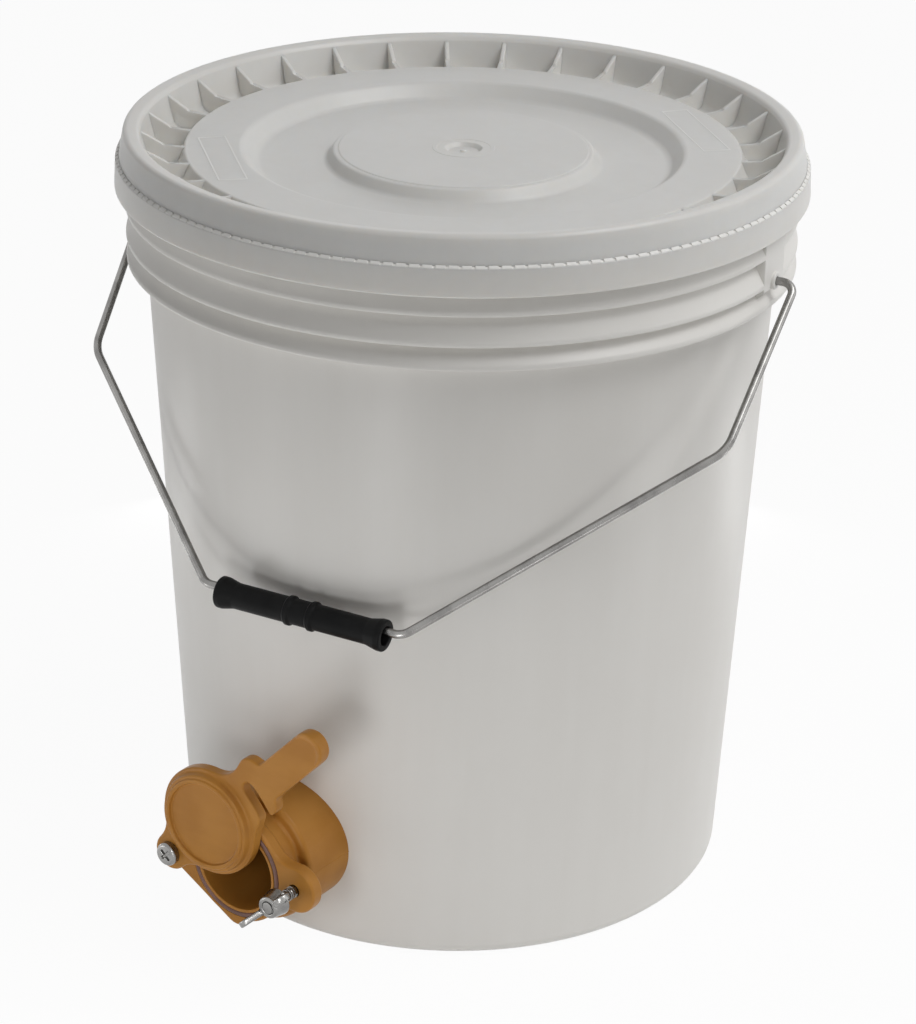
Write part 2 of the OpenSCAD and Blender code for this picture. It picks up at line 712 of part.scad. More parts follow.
// Outline of the shutter in its own frame, lever and hook included
module shutter_outline() {
    pivot = [0, 0];
    disc = [pivot_arm, 0];
    bump = [stud_path + bump_r, lever_w / 3];
    slot_out = stud_path + slot_w / 2;
    slot_in = stud_path - slot_w / 2;
    lever_lo = -lever_off - lever_w / 2;
    circle(shutter_ear_r);
    translate(disc) circle(shutter_r);
    blend(pivot, shutter_ear_r, disc, shutter_r, shutter_blend, 1);
    blend(pivot, shutter_ear_r, disc, shutter_r, shutter_blend, -1);
    translate(bump) circle(bump_r);
    blend(disc, shutter_r, bump, bump_r, shutter_blend, 1);
    belt([stud_path, -lever_off], lever_w / 2, [lever_reach - lever_w / 2, -lever_off], lever_w / 2);
    polygon([disc, bump, [slot_out + bump_r, 0], [slot_out + bump_r, lever_lo],
        [slot_out + bump_r / 2, -hook_drop], [stud_path, -hook_drop],
        [slot_in - slot_w / 4, hook_heel - hook_drop], disc + shutter_r * unit(-45)]);
}

// Curved slot, swept about the pivot, that lets the clamp bolt in from below
module shutter_slot() {
    sweep = asin((hook_drop + slot_w) / stud_path);
    translate([stud_path, 0]) circle(slot_w / 2);
    intersection() {
        difference() {
            circle(stud_path + slot_w / 2);
            circle(stud_path - slot_w / 2);
        }
        polygon([[0, 0], [lever_reach, 0], lever_reach * unit(-sweep)]);
    }
}

// Middle of the round tip of the lever
lever_tip = [lever_reach - lever_w / 2, -lever_off];

// Raised rim round the end of the lever, thin towards its sides
module tip_outline() {
    difference() {
        translate(lever_tip) circle(lever_w / 2);
        translate(lever_tip - [tip_rim, 0]) circle(lever_w / 2 - tip_wall);
    }
}

module gate_shutter() {
    puck_z = shutter_t + puck_h;
    color("peru") at_shutter() difference() {
        union() {
            linear_extrude(shutter_t) shutter_outline();
            linear_extrude(shutter_t + tip_h) tip_outline();
            translate([pivot_arm, 0, shutter_t]) cylinder(h = puck_h, r1 = puck_r + puck_draft, r2 = puck_r);
            translate([pivot_arm, 0, 0]) cylinder(h = puck_z + ring_h, r = ring_r);
        }
        translate([pivot_arm, 0, puck_z - face_sink])
            cylinder(h = face_sink + ring_h + cut, r = ring_r - ring_w);
        translate([0, 0, -cut]) linear_extrude(shutter_t + 2 * cut) shutter_slot();
        translate([0, 0, -cut]) cylinder(h = shutter_t + 2 * cut, r = bolt_r + bolt_gap);
    }
}

module pivot_screw() {
    seat_z = shutter_front + bolt_gap;
    tail = flange_t + nut_h + screw_tail;
    color("lightgray") at_gate() translate([-pivot_arm, 0, 0]) difference() {
        union() {
            translate([0, 0, -tail]) cylinder(h = tail + seat_z, r = bolt_r);
            translate([0, 0, seat_z]) rotate_extrude() polygon(concat(
                [[0, 0], [pan_r, 0]],
                arc([pan_r - pan_round, pan_h - pan_round], pan_round, 0, 90),
                [[0, pan_h]]));
        }
        for (a = [shutter_open, shutter_open + 90])
            rotate(a) translate([-cross_reach, -cross_w / 2, seat_z + pan_h - cross_d])
                cube([2 * cross_reach, cross_w, cross_d + cut]);
    }
}

module pivot_nut() {
    color("lightgray") at_gate() translate([-pivot_arm, 0, -flange_t - nut_h]) difference() {
        cylinder(h = nut_h, r = hex_r, $fn = 6);
        translate([0, 0, -cut]) cylinder(h = nut_h + 2 * cut, r = bolt_r + seat_gap);
    }
}

module clamp_bolt() {
    color("lightgray") at_gate() translate([stud_arm, 0, 0]) {
        translate([0, 0, -flange_t - hex_head_h]) cylinder(h = hex_head_h, r = hex_r, $fn = 6);
        translate([0, 0, -flange_t]) cylinder(h = flange_t + stud_reach, r = bolt_r);
    }
}

// One wing of the nut, standing in the plane of x and z
module wing() {
    tip_r = wing_t * wing_tip_share;
    translate([0, wing_t / 2, 0]) rotate([90, 0, 0]) linear_extrude(wing_t)
        belt([hub_top_r, hub_h / 2], hub_h / 3, [wing_span / 2 - tip_r, wing_h - tip_r], tip_r);
}

module wing_nut() {
    seat_z = stud_reach - hub_h - 2 * bolt_gap;
    color("lightgray") at_gate() translate([stud_arm, 0, seat_z]) rotate(wing_turn) difference() {
        union() {
            cylinder(h = hub_h, r1 = hub_r, r2 = hub_top_r);
            wing();
            rotate(180) wing();
        }
        translate([0, 0, -cut]) cylinder(h = wing_h + 2 * cut, r = bolt_r + bolt_gap);
    }
}

pail_body();
lid();
tear_band();
bail_wire();
bail_grip();
gate_body();
barrel_gasket();
ring_nut();
shutter_seal();
gate_shutter();
pivot_screw();
pivot_nut();
clamp_bolt();
wing_nut();
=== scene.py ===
# %% [markdown]
# A honey bucket with a gate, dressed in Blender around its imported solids.
# The solids bring the exact places and sizes. This lesson adds what the eye looks for:
# rounded moulded edges, ribs, gussets, threads, and plastics and steel that catch soft studio light.
# Lengths are written in millimetres, as on a maker's drawing, and become metres in the mesh.

# %% Load the frame
import json
import math

import bmesh
import bpy
from mathutils import Matrix, Vector


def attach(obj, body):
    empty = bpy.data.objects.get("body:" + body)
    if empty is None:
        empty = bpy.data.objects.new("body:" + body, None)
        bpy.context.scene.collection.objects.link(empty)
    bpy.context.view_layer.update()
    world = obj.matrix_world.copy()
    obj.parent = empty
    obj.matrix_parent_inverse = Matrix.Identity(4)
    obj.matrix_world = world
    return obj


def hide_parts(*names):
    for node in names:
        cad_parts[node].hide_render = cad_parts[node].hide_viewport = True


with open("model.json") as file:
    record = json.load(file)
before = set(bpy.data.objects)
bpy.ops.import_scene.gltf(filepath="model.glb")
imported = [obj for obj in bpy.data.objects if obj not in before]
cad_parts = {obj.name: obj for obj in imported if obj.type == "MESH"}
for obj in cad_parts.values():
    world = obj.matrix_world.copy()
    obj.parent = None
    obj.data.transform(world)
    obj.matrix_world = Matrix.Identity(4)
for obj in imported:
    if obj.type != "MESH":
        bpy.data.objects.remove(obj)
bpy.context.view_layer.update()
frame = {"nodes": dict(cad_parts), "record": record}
MM = 0.001
nodes = frame["nodes"]
joints = {j["name"]: j for j in frame["record"]["behaviour"]["joints"]}
print("frame", len(nodes), "nodes, joints", sorted(joints))

# %% [markdown]
# Node trees are written as sums. A Signal stands for one output of a node, and sums, products and
# shares of Signals add Math nodes, so a finish reads like a formula. A Board holds one tree and
# adds any other node from its type, its settings and the values or links of its sockets.


# %% Signals and boards
class Signal:
    """One output socket that can be used in Python sums."""

    def __init__(self, board, port):
        self.board, self.port = board, port

    def sum_of(self, operation, other):
        return self.board.add("ShaderNodeMath", {"operation": operation}, {0: self, 1: other})

    def __add__(self, other):
        return self.sum_of("ADD", other)

    def __mul__(self, other):
        return self.sum_of("MULTIPLY", other)

    def __truediv__(self, other):
        return self.sum_of("DIVIDE", other)

    __radd__ = __add__


class Board:
    """One node tree and the few ways of adding to it."""

    def __init__(self, tree):
        self.tree = tree

    def plug(self, port, value):
        if isinstance(value, Signal):
            self.tree.links.new(value.port, port)
        else:
            port.default_value = value

    def add(self, kind, settings=None, sockets=None, out=0):
        node = self.tree.nodes.new(kind)
        for key, value in (settings or {}).items():
            setattr(node, key, value)
        for key, value in (sockets or {}).items():
            self.plug(node.inputs[key], value)
        return Signal(self, node.outputs[out]) if node.outputs else None

    def blend(self, share, first, second):
        return self.add("ShaderNodeMix", {"data_type": "RGBA"}, {0: share, 6: first, 7: second}, 2)

    def span(self, value, low, high):
        """Spread a value between two levels to the range 0 to 1."""
        return self.add("ShaderNodeMapRange", {"interpolation_type": "SMOOTHSTEP"},
                        {"Value": value, "From Min": low, "From Max": high})

    def place(self):
        """The object's own coordinates, the fourth output of their node."""
        return self.add("ShaderNodeTexCoord", out=3)

    def cloud(self, scale, detail, stretch=(1, 1, 1)):
        """Noise on the object's own coordinates, stretched where a finish has a direction."""
        place = self.add("ShaderNodeMapping", sockets={"Vector": self.place(), "Scale": stretch})
        return self.add("ShaderNodeTexNoise", sockets={"Vector": place, "Scale": scale, "Detail": detail})


# %% [markdown]
# Every finish ends in one Principled shader. What varies over the surface goes into its colour,
# roughness and bump; what is the same everywhere is set on the shader's own socket.


# %% One way to make a finish
def blank_board(holder):
    """The emptied node tree of a new material or world."""
    holder.use_nodes = True
    holder.node_tree.nodes.clear()
    return Board(holder.node_tree)


def finish_of(name, paint, **plain):
    """A finish from a paint function, which gives colour, roughness, and a bump's height and depth."""
    material = bpy.data.materials.new(name)
    board = blank_board(material)
    colour, roughness, height, depth = paint(board)
    normal = board.add("ShaderNodeBump", sockets={"Distance": depth * MM, "Height": height})
    sockets = {"Base Color": colour, "Roughness": roughness, "Normal": normal}
    sockets.update({key.replace("_", " "): value for key, value in plain.items()})
    shader = board.add("ShaderNodeBsdfPrincipled", sockets=sockets)
    board.add("ShaderNodeOutputMaterial", sockets={"Surface": shader})
    print("finish", name, len(material.node_tree.nodes), "nodes")
    return material


# %% [markdown]
# The pail and the lid are white polyethylene. Thick mouldings are never one even white: they have
# faint clouds, flow streaks that run up the wall from where the melt came in, and a fine satin skin.
# The pail is painted palest from its ribs up: painted light that lifts the ribs out of the shade under
# the tear band. Light goes a few millimetres into the lid, which softens the shade between its gussets.
# Its thin trim, the bridges, the web and the raised outlines, is painted paler still: painted light that
# stands for light shining through thin plastic and lifts the shade along the parting line.

# %% White plastics
# Heights over which the painted light on the ribs fades in.
RIB_PAINTED_LIGHT_FROM, RIB_PAINTED_LIGHT_FULL = 306 * MM, 322 * MM


def pail_paint(board):
    clouds = board.cloud(11, 4)
    flow = board.cloud(1, 3, (75, 75, 6))
    tone = board.span(clouds * 0.6 + flow * 0.4, 0.36, 0.64)
    colour = board.blend(tone, (0.765, 0.748, 0.717, 1), (0.785, 0.77, 0.741, 1))
    height = board.add("ShaderNodeSeparateXYZ", sockets={"Vector": board.place()}, out=2)
    # Painted light: from just below the ribs up to the rim the colour is painted paler, to lift the ribs'
    # shade.
    colour = board.blend(board.span(height, RIB_PAINTED_LIGHT_FROM, RIB_PAINTED_LIGHT_FULL), colour, (0.86, 0.845, 0.815, 1))
    skin = board.cloud(1500, 2)
    waves = board.cloud(70, 2)
    roughness = 0.33 + board.cloud(38, 5) * 0.16
    return colour, roughness, skin * 0.35 + waves * 1.6, 0.05


def lid_skin(board):
    """Roughness, and the height and depth of the bump, on all of the lid."""
    skin = board.cloud(1300, 2)
    waves = board.cloud(95, 2)
    return 0.28 + board.cloud(45, 5) * 0.16, skin * 0.35 + waves * 1.6, 0.05


def lid_paint(board):
    clouds = board.cloud(17, 4)
    ripple = board.cloud(160, 3)
    tone = board.span(clouds * 0.7 + ripple * 0.3, 0.36, 0.64)
    return board.blend(tone, (0.80, 0.788, 0.761, 1), (0.82, 0.81, 0.785, 1)), *lid_skin(board)


# Painted light: the thin trim is painted paler than the lid, for light shining through thin plastic and to
# lift its shade.
def painted_glow_for_trim(board):
    return (0.95, 0.94, 0.915, 1), *lid_skin(board)


MILKY = {"Subsurface_Weight": 0.6, "Subsurface_Scale": 0.004, "Subsurface_Radius": (1.0, 0.9, 0.8)}
pail_white = finish_of("pail_white", pail_paint)
lid_white = finish_of("lid_white", lid_paint, **MILKY)
# The trim's finish carries painted light: a paler colour in place of light through thin plastic.
lid_painted_light_trim = finish_of("lid_painted_light_trim", painted_glow_for_trim)


# %% [markdown]
# The gate is moulded in an ochre nylon. Its skin is duller than the pail's, and darker in streaks
# where the melt folded.


# %% Ochre plastic
def ochre_paint(board):
    clouds = board.cloud(42, 5)
    folds = board.cloud(16, 4, (1, 1, 5))
    tone = board.span(clouds * 0.55 + folds * 0.45, 0.34, 0.66)
    colour = board.blend(tone, (0.37, 0.157, 0.024, 1), (0.44, 0.2, 0.037, 1))
    roughness = 0.29 + board.cloud(120, 4) * 0.2
    skin = board.cloud(1100, 2)
    waves = board.cloud(150, 3)
    return colour, roughness, skin * 0.5 + waves * 1.3, 0.06


gate_ochre = finish_of("gate_ochre", ochre_paint, Specular_IOR_Level=0.2)


# %% [markdown]
# Steel, black grip and the two seals. Drawn wire and plated fasteners have a fine grain and patches
# of tarnish; the grip is a soft black polymer; the seals are dull, each in its own colour.


# %% Steel, grip and seals
def steel_paint(board):
    tarnish = board.span(board.cloud(90, 4), 0.4, 0.7)
    colour = board.blend(tarnish, (0.30, 0.295, 0.285, 1), (0.21, 0.205, 0.20, 1))
    roughness = 0.17 + board.cloud(700, 3) * 0.16
    return colour, roughness, board.cloud(2600, 2), 0.012


def grip_paint(board):
    tone = board.span(board.cloud(60, 4), 0.35, 0.65)
    colour = board.blend(tone, (0.006, 0.0062, 0.0064, 1), (0.010, 0.0102, 0.0104, 1))
    return colour, 0.36 + board.cloud(220, 4) * 0.16, board.cloud(1400, 2), 0.03


def rubber_paint(board):
    tone = board.span(board.cloud(80, 4), 0.35, 0.65)
    colour = board.blend(tone, (0.018, 0.018, 0.019, 1), (0.035, 0.034, 0.034, 1))
    return colour, 0.55 + board.cloud(160, 3) * 0.2, board.cloud(900, 3), 0.05


def silicone_paint(board):
    tone = board.span(board.cloud(120, 4), 0.35, 0.65)
    colour = board.blend(tone, (0.115, 0.052, 0.038, 1), (0.165, 0.078, 0.058, 1))
    return colour, 0.42 + board.cloud(200, 3) * 0.18, board.cloud(900, 3), 0.04


bright_steel = finish_of("bright_steel", steel_paint, Metallic=1.0)
grip_black = finish_of("grip_black", grip_paint, Specular_IOR_Level=0.08)
seal_rubber = finish_of("seal_rubber", rubber_paint)
ring_seal = finish_of("ring_seal", silicone_paint)

# %% [markdown]
# Most of this object is turned: pail, lid, tear band and grip are profiles swung round an axis.
# A profile is a list of corners with a rounding each, so that every moulded edge catches light.


# %% Profiles and turning
ARC_STEPS, TURN_STEPS, WALL_STEP = 5, 192, 14.0
MOST_BITE, ON_AXIS, SOFT_ANGLE = 0.48, 0.001, 38.0


def rounded(corners, closed):
    """Corners (radius, height, rounding) as an outline with an arc in place of each corner."""
    outline = []
    last = len(corners) - 1
    for i, (r, z, rounding) in enumerate(corners):
        corner = Vector((r, z))
        if rounding == 0 or (not closed and i in (0, last)):
            outline.append(corner)
            continue
        back = Vector(corners[i - 1][:2]) - corner
        ahead = Vector(corners[(i + 1) % len(corners)][:2]) - corner
        half = back.angle(ahead) / 2
        bite = min(rounding / math.tan(half), back.length * MOST_BITE, ahead.length * MOST_BITE)
        middle = corner + (back.normalized() + ahead.normalized()).normalized() * (bite / math.cos(half))
        start = corner + back.normalized() * bite - middle
        sweep = start.angle_signed(corner + ahead.normalized() * bite - middle)
        for k in range(ARC_STEPS + 1):
            outline.append(middle + Matrix.Rotation(-sweep * k / ARC_STEPS, 2) @ start)
    return outline


def stepped(outline, closed):
    """Extra points on the long straight stretches, so that shading stays even."""
    fine = []
    for i, point in enumerate(outline):
        fine.append(point)
        if i + 1 == len(outline) and not closed:
            break
        reach = outline[(i + 1) % len(outline)] - point
        count = int(reach.length // WALL_STEP)
        fine += [point + reach * (k + 1) / (count + 1) for k in range(count)]
    return fine


def placed(name, data):
    """A new object in the scene, at the origin."""
    holder = bpy.data.objects.new(name, data)
    bpy.context.scene.collection.objects.link(holder)
    return holder


def soft_shaded(mesh, soft_angle=SOFT_ANGLE):
    mesh.shade_smooth()
    mesh.set_sharp_from_angle(angle=math.radians(soft_angle))


def shown(name, bm, material):
    """Put a bmesh in the scene as one smooth piece with the normals outwards."""
    bmesh.ops.recalc_face_normals(bm, faces=bm.faces)
    mesh = bpy.data.meshes.new(name)
    bm.to_mesh(mesh)
    bm.free()
    mesh.materials.append(material)
    soft_shaded(mesh)
    return placed(name, mesh)


def settled(piece):
    """Bake a piece's modifiers into a plain mesh."""
    bpy.context.view_layer.update()
    graph = bpy.context.evaluated_depsgraph_get()
    mesh = bpy.data.meshes.new_from_object(
        piece.evaluated_get(graph), preserve_all_data_layers=True, depsgraph=graph)
    piece.modifiers.clear()
    piece.data = mesh
    print(piece.name, len(mesh.polygons), "faces")
    return piece


def even_light(piece):
    """Let the broad faces set the normals, so that flat faces stay flat beside rounded edges."""
    evener = piece.modifiers.new("even", "WEIGHTED_NORMAL")
    evener.keep_sharp = True
    return settled(piece)


def smooth_again(piece, soft_angle=SOFT_ANGLE):
    soft_shaded(piece.data, soft_angle)
    return even_light(piece)


def skinned(bm, rows, closed=False):
    """Faces between each row of points and the next, and back to the first where the rows close."""
    for low, high in list(zip(rows, rows[1:])) + ([(rows[-1], rows[0])] if closed else []):
        for k in range(len(low)):
            nxt = (k + 1) % len(low)
            corners = list(dict.fromkeys((low[k], low[nxt], high[nxt], high[k])))
            if len(corners) > 2:
                bm.faces.new(corners)


def turned(name, corners, material, closed=False, steps=TURN_STEPS):
    """Swing a profile round Z. An open profile starts and ends on the axis."""
    outline = stepped(rounded(corners, closed), closed)
    bm = bmesh.new()
    rows = []
    for r, z in outline:
        if r < ON_AXIS:
            rows.append([bm.verts.new((0, 0, z * MM))] * steps)
            continue
        angles = [math.tau * k / steps for k in range(steps)]
        rows.append([bm.verts.new((r * math.cos(a) * MM, r * math.sin(a) * MM, z * MM)) for a in angles])
    skinned(bm, rows, closed)
    return shown(name, bm, material)


# %% [markdown]
# The pail's wall leans out by a few degrees from a rounded base. Under the rim three ring ribs,
# flat below and sloped above, stiffen it, and a plain neck carries the bead that the lid snaps over.
# One closed profile, outside and inside, makes the whole shell with its true wall thickness.

# %% Pail shell
PAIL_H, BASE_R, TAPER_R, WALL_T = 372.4, 134.5, 20.1, 2.2
FOOT_H, FOOT_W, BASE_ROUND = 5.0, 5.0, 8.0
FLOOR_Z, FLOOR_ROUND = 7.8, 6.0
RIB_R, RIB_LAND, RIB_PROUD = 161.0, 2.2, 1.6
RIB_Z = (314.0, 325.0, 339.3)
NECK_R, SHOULDER_Z, SHOULDER_H = 157.5, 348.9, 4.0
BEAD_R, BEAD_Z, BEAD_ROUND = 160.5, 358.4, 1.8
RIB_ROUND, CREST_ROUND, ROOT_ROUND = 1.0, 3.2, 1.2


def wall_r(z):
    return BASE_R + TAPER_R * z / PAIL_H


def pail_corners():
    neck_in = NECK_R - WALL_T
    foot_r = wall_r(BASE_ROUND)
    foot_in = foot_r - BASE_ROUND - FOOT_W
    ribs = []
    for i, z in enumerate(RIB_Z):
        root = wall_r(z) + (RIB_PROUD if i else 0)
        ribs += [(root, z, ROOT_ROUND), (RIB_R, z, RIB_ROUND), (RIB_R, z + RIB_LAND, CREST_ROUND)]
    return [(0, FOOT_H, 0), (foot_in - FOOT_H, FOOT_H, 2), (foot_in, 0, 1.2), (foot_r, 0, BASE_ROUND),
            *ribs, (NECK_R, SHOULDER_Z, 1.5), (NECK_R, BEAD_Z, 0.6), (BEAD_R, BEAD_Z, 0.8),
            (BEAD_R, PAIL_H, BEAD_ROUND), (neck_in, PAIL_H, 1.9), (neck_in, SHOULDER_Z, 2.5),
            (wall_r(SHOULDER_Z - SHOULDER_H) - WALL_T, SHOULDER_Z - SHOULDER_H, 2.5),
            (wall_r(FLOOR_Z) - WALL_T, FLOOR_Z, FLOOR_ROUND), (0, FLOOR_Z, 0)]


pail_shell = turned("pail_shell", pail_corners(), pail_white)
print("pail_shell", len(pail_shell.data.polygons), "faces before its ears")

# %% [markdown]
# Two ears hold the bail. Each is a block that bridges the ribs, with a flat face just inside their
# edges, a sloped toe and a raised rim round a blind bore. Booleans trim the ribs, join the blocks
# and cut the bores and the round hole for the gate, as a mould's cores would.

# %% Ears, bores and gate hole
EAR_TURN, EAR_Z, EAR_FACE, EAR_W = 9.2, 326.4, 160.6, 24.0
EAR_TOE, EAR_EDGE, EAR_TRIM = 9.5, 0.5, 0.06
TRIM_PAST, TRIM_END, TRIM_SIDE = 2.0, 1.0, 0.3
BOSS_R, BOSS_H, BOSS_EDGE, BOSS_SINK = 4.2, 1.6, 0.6, 3.0
BORE_R, BORE_DEPTH, BORE_PAST = 2.3, 7.0, 5.0
GATE_Z, HOLE_R, HOLE_NEAR, HOLE_FAR = 53.5, 25.3, 100, 200
PIN_STEPS = 48
gate_face_y = joints["shutter_swing"]["pos_m"][1] / MM


def prism(outline, low, high):
    """A flat outline in X and Z, given thickness along Y."""
    bm = bmesh.new()
    near = [bm.verts.new((x * MM, low * MM, z * MM)) for x, z in outline]
    far = [bm.verts.new((x * MM, high * MM, z * MM)) for x, z in outline]
    bm.faces.new(near)
    bm.faces.new(far[::-1])
    for k in range(len(near)):
        nxt = (k + 1) % len(near)
        bm.faces.new((near[k], far[k], far[nxt], near[nxt]))
    return bm


def bevelled(bm, chosen, width, steps=3):
    edges = [e for e in bm.edges if chosen(e)]
    bmesh.ops.bevel(bm, geom=edges, offset=width * MM, segments=steps, profile=0.5, affect="EDGES")


def ear_block():
    low_z = RIB_Z[0] + RIB_LAND
    bm = prism([(wall_r(low_z) - WALL_T / 2, low_z), (wall_r(low_z), low_z), (EAR_FACE, RIB_Z[0] + EAR_TOE),
                (EAR_FACE, SHOULDER_Z), (NECK_R - WALL_T / 2, SHOULDER_Z)], -EAR_W / 2, EAR_W / 2)
    outer = (EAR_FACE - EAR_EDGE) * MM
    bevelled(bm, lambda e: all(v.co.x > outer for v in e.verts), EAR_EDGE)
    return shown("ear_block", bm, pail_white)


def ear_trim():
    """A box that takes the ribs' edges back to just behind the ear's face."""
    near, far = EAR_FACE - EAR_TRIM, RIB_R + TRIM_PAST
    low, high = RIB_Z[0] - TRIM_END, SHOULDER_Z - TRIM_END
    half = EAR_W / 2 - TRIM_SIDE
    box = prism([(near, low), (far, low), (far, high), (near, high)], -half, half)
    return shown("ear_trim", box, pail_white)


def pin(name, r, start, end, edge):
    """A round pin along X with rounded ends."""
    corners = [(0, start, 0), (r, start, edge), (r, end, edge), (0, end, 0)]
    piece = turned(name, corners, pail_white, steps=PIN_STEPS)
    piece.data.transform(Matrix.Rotation(math.radians(90), 4, "Y"))
    return piece


def joined(piece, tool, how):
    """Add a tool to a piece or cut it out, and take the tool away."""
    cutter = piece.modifiers.new(how, "BOOLEAN")
    cutter.object, cutter.operation, cutter.solver = tool, how, "EXACT"
    settled(piece)
    bpy.data.objects.remove(tool)


for side in (0, 180):
    swing = Matrix.Rotation(math.radians(EAR_TURN + side), 4, "Z")
    lifted = swing @ Matrix.Translation((0, 0, EAR_Z * MM))
    boss = pin("boss", BOSS_R, EAR_FACE - BOSS_SINK, EAR_FACE + BOSS_H, BOSS_EDGE)
    bore = pin("bore", BORE_R, EAR_FACE - BORE_DEPTH, EAR_FACE + BORE_PAST, 0)
    for tool, place, how in ((ear_trim(), swing, "DIFFERENCE"), (ear_block(), swing, "UNION"),
                             (boss, lifted, "UNION"), (bore, lifted, "DIFFERENCE")):
        tool.data.transform(place)
        joined(pail_shell, tool, how)

hole = pin("hole", HOLE_R, HOLE_NEAR, HOLE_FAR, 0)
hole.data.transform(Matrix.Translation((0, 0, GATE_Z * MM)) @ Matrix.Rotation(math.radians(-90), 4, "Z"))
joined(pail_shell, hole, "DIFFERENCE")
smooth_again(pail_shell)
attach(pail_shell, "pail")
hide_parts("pail_body")

# %% [markdown]
# The lid is one deep moulding: a rolled rim with a short skirt, a trough, a raised annulus, a sunken
# field and a raised middle disc with a ring, a dimple and the nub where the plastic was injected.

# %% Lid shell
RIM_Z, PART_Z = 377.5, 363.8
SKIRT_IN, SKIRT_R, SKIRT_TOP, RIM_ROUND = 160.8, 163.6, 161.0, 2.6
PLUG_R, PLUG_IN, RIM_IN, RIM_IN_DROP = 155.0, 153.0, 154.2, 1.0
LID_T, STEP_W, RIM_BEVEL = 2.2, 7.0, 1.0
TROUGH_Z, ANNULUS_Z, FIELD_Z, DISC_Z = 358.4, 366.6, 359.4, 365.4
TROUGH_OUT, ANNULUS_R, ANNULUS_IN, DISC_R = 149.0, 132.5, 105.5, 62.0
EYE_R, EYE_W, EYE_H, DIMPLE_R, DIMPLE_D = 15.0, 2.0, 0.2, 9.0, 1.8
NUB_R, NUB_H, NUB_SLOPE = 1.6, 0.9, 0.3
DISC_EDGE, DISC_LEDGE, DISC_SLOPE, EYE_SLOPE = 0.5, 2.0, 0.6, 0.2


def lid_corners():
    """One open profile from the middle of the underside round the rim to the nub."""
    field_r = ANNULUS_IN - STEP_W
    disc_foot = DISC_R + STEP_W / 2
    dip = DISC_Z - DIMPLE_D
    top = [(SKIRT_IN, PART_Z, 0.3), (SKIRT_R, PART_Z, 0.4), (SKIRT_TOP, RIM_Z, RIM_ROUND),
           (RIM_IN, RIM_Z - RIM_IN_DROP, 3.0), (PLUG_IN, RIM_Z - 3 * RIM_IN_DROP, 2.5),
           (TROUGH_OUT, TROUGH_Z, 5.0), (ANNULUS_R + STEP_W / 2, TROUGH_Z, 4.0),
           (ANNULUS_R, ANNULUS_Z, 1.2), (ANNULUS_IN, ANNULUS_Z, 4.0), (field_r, FIELD_Z, 5.0),
           (disc_foot, FIELD_Z, 3.0), (DISC_R, DISC_Z - DISC_EDGE, 1.6),
           (DISC_R - DISC_LEDGE, DISC_Z - DISC_EDGE, 0.6), (DISC_R - DISC_LEDGE - DISC_SLOPE, DISC_Z, 0.6),
           (EYE_R, DISC_Z, 0.3), (EYE_R - EYE_SLOPE, DISC_Z + EYE_H, 0.25),
           (EYE_R - EYE_W, DISC_Z + EYE_H, 0.25), (EYE_R - EYE_W - EYE_SLOPE, DISC_Z, 0.3),
           (DIMPLE_R, DISC_Z, 0.8), (DIMPLE_R - DIMPLE_D, dip, 0.8),
           (NUB_R + NUB_SLOPE, dip, 0.3), (NUB_R, dip + NUB_H, 0.35), (0, dip + NUB_H * 0.8, 0)]
    under = [(0, dip - LID_T, 0), (DIMPLE_R, dip - LID_T, 1), (EYE_R, DISC_Z - LID_T, 1),
             (DISC_R - LID_T, DISC_Z - LID_T, 1), (disc_foot - LID_T / 2, FIELD_Z - LID_T, 1),
             (field_r + LID_T / 2, FIELD_Z - LID_T, 1), (ANNULUS_IN + LID_T / 2, ANNULUS_Z - LID_T, 1),
             (ANNULUS_R - LID_T, ANNULUS_Z - LID_T, 1), (ANNULUS_R, TROUGH_Z - LID_T, 1),
             (PLUG_R - LID_T / 2, TROUGH_Z - LID_T, 1), (PLUG_R, TROUGH_Z, 1),
             (PLUG_R, PAIL_H, 0.4), (SKIRT_IN - RIM_BEVEL, PAIL_H, 0.3), (SKIRT_IN, PAIL_H - RIM_BEVEL, 0.3)]
    return under + top


lid_shell = even_light(turned("lid_shell", lid_corners(), lid_white))
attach(lid_shell, "lid")
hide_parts("lid")

# %% [markdown]
# What repeats round the axis is made once and set out by Geometry Nodes: a count of points, one
# copy of the shape on each, turned by its share of the circle. Every tree has a geometry and named
# numbers as its inputs, and ends in Realize Instances so that the export keeps every copy.


# %% Trees with named inputs
def new_tree(name, **kinds):
    """A tree's board, and a Signal for its geometry and for each named input."""
    tree = bpy.data.node_groups.new(name, "GeometryNodeTree")
    tree.interface.new_socket("Geometry", in_out="INPUT", socket_type="NodeSocketGeometry")
    for key, kind in kinds.items():
        tree.interface.new_socket(key, in_out="INPUT", socket_type="NodeSocket" + kind)
    tree.interface.new_socket("Geometry", in_out="OUTPUT", socket_type="NodeSocketGeometry")
    board = Board(tree)
    ports = tree.nodes.new("NodeGroupInput").outputs[:len(kinds) + 1]
    return board, [Signal(board, port) for port in ports]


def ended(board, shape, material):
    real = board.add("GeometryNodeRealizeInstances", sockets={"Geometry": shape})
    painted = board.add("GeometryNodeSetMaterial", sockets={"Geometry": real, "Material": material})
    board.add("NodeGroupOutput", sockets={"Geometry": painted})
    return board.tree


# %% A ring of copies
def ring_tree(material):
    board, (shape, count, first) = new_tree("ring_of_copies", count="Int", first_angle="Float")
    points = board.add("GeometryNodePoints", sockets={"Count": count})
    angle = first + board.add("GeometryNodeInputIndex") * math.tau / count
    turn = board.add("ShaderNodeCombineXYZ", sockets={"Z": angle})
    copies = board.add("GeometryNodeInstanceOnPoints",
                       sockets={"Points": points, "Instance": shape, "Rotation": turn})
    return ended(board, copies, material)


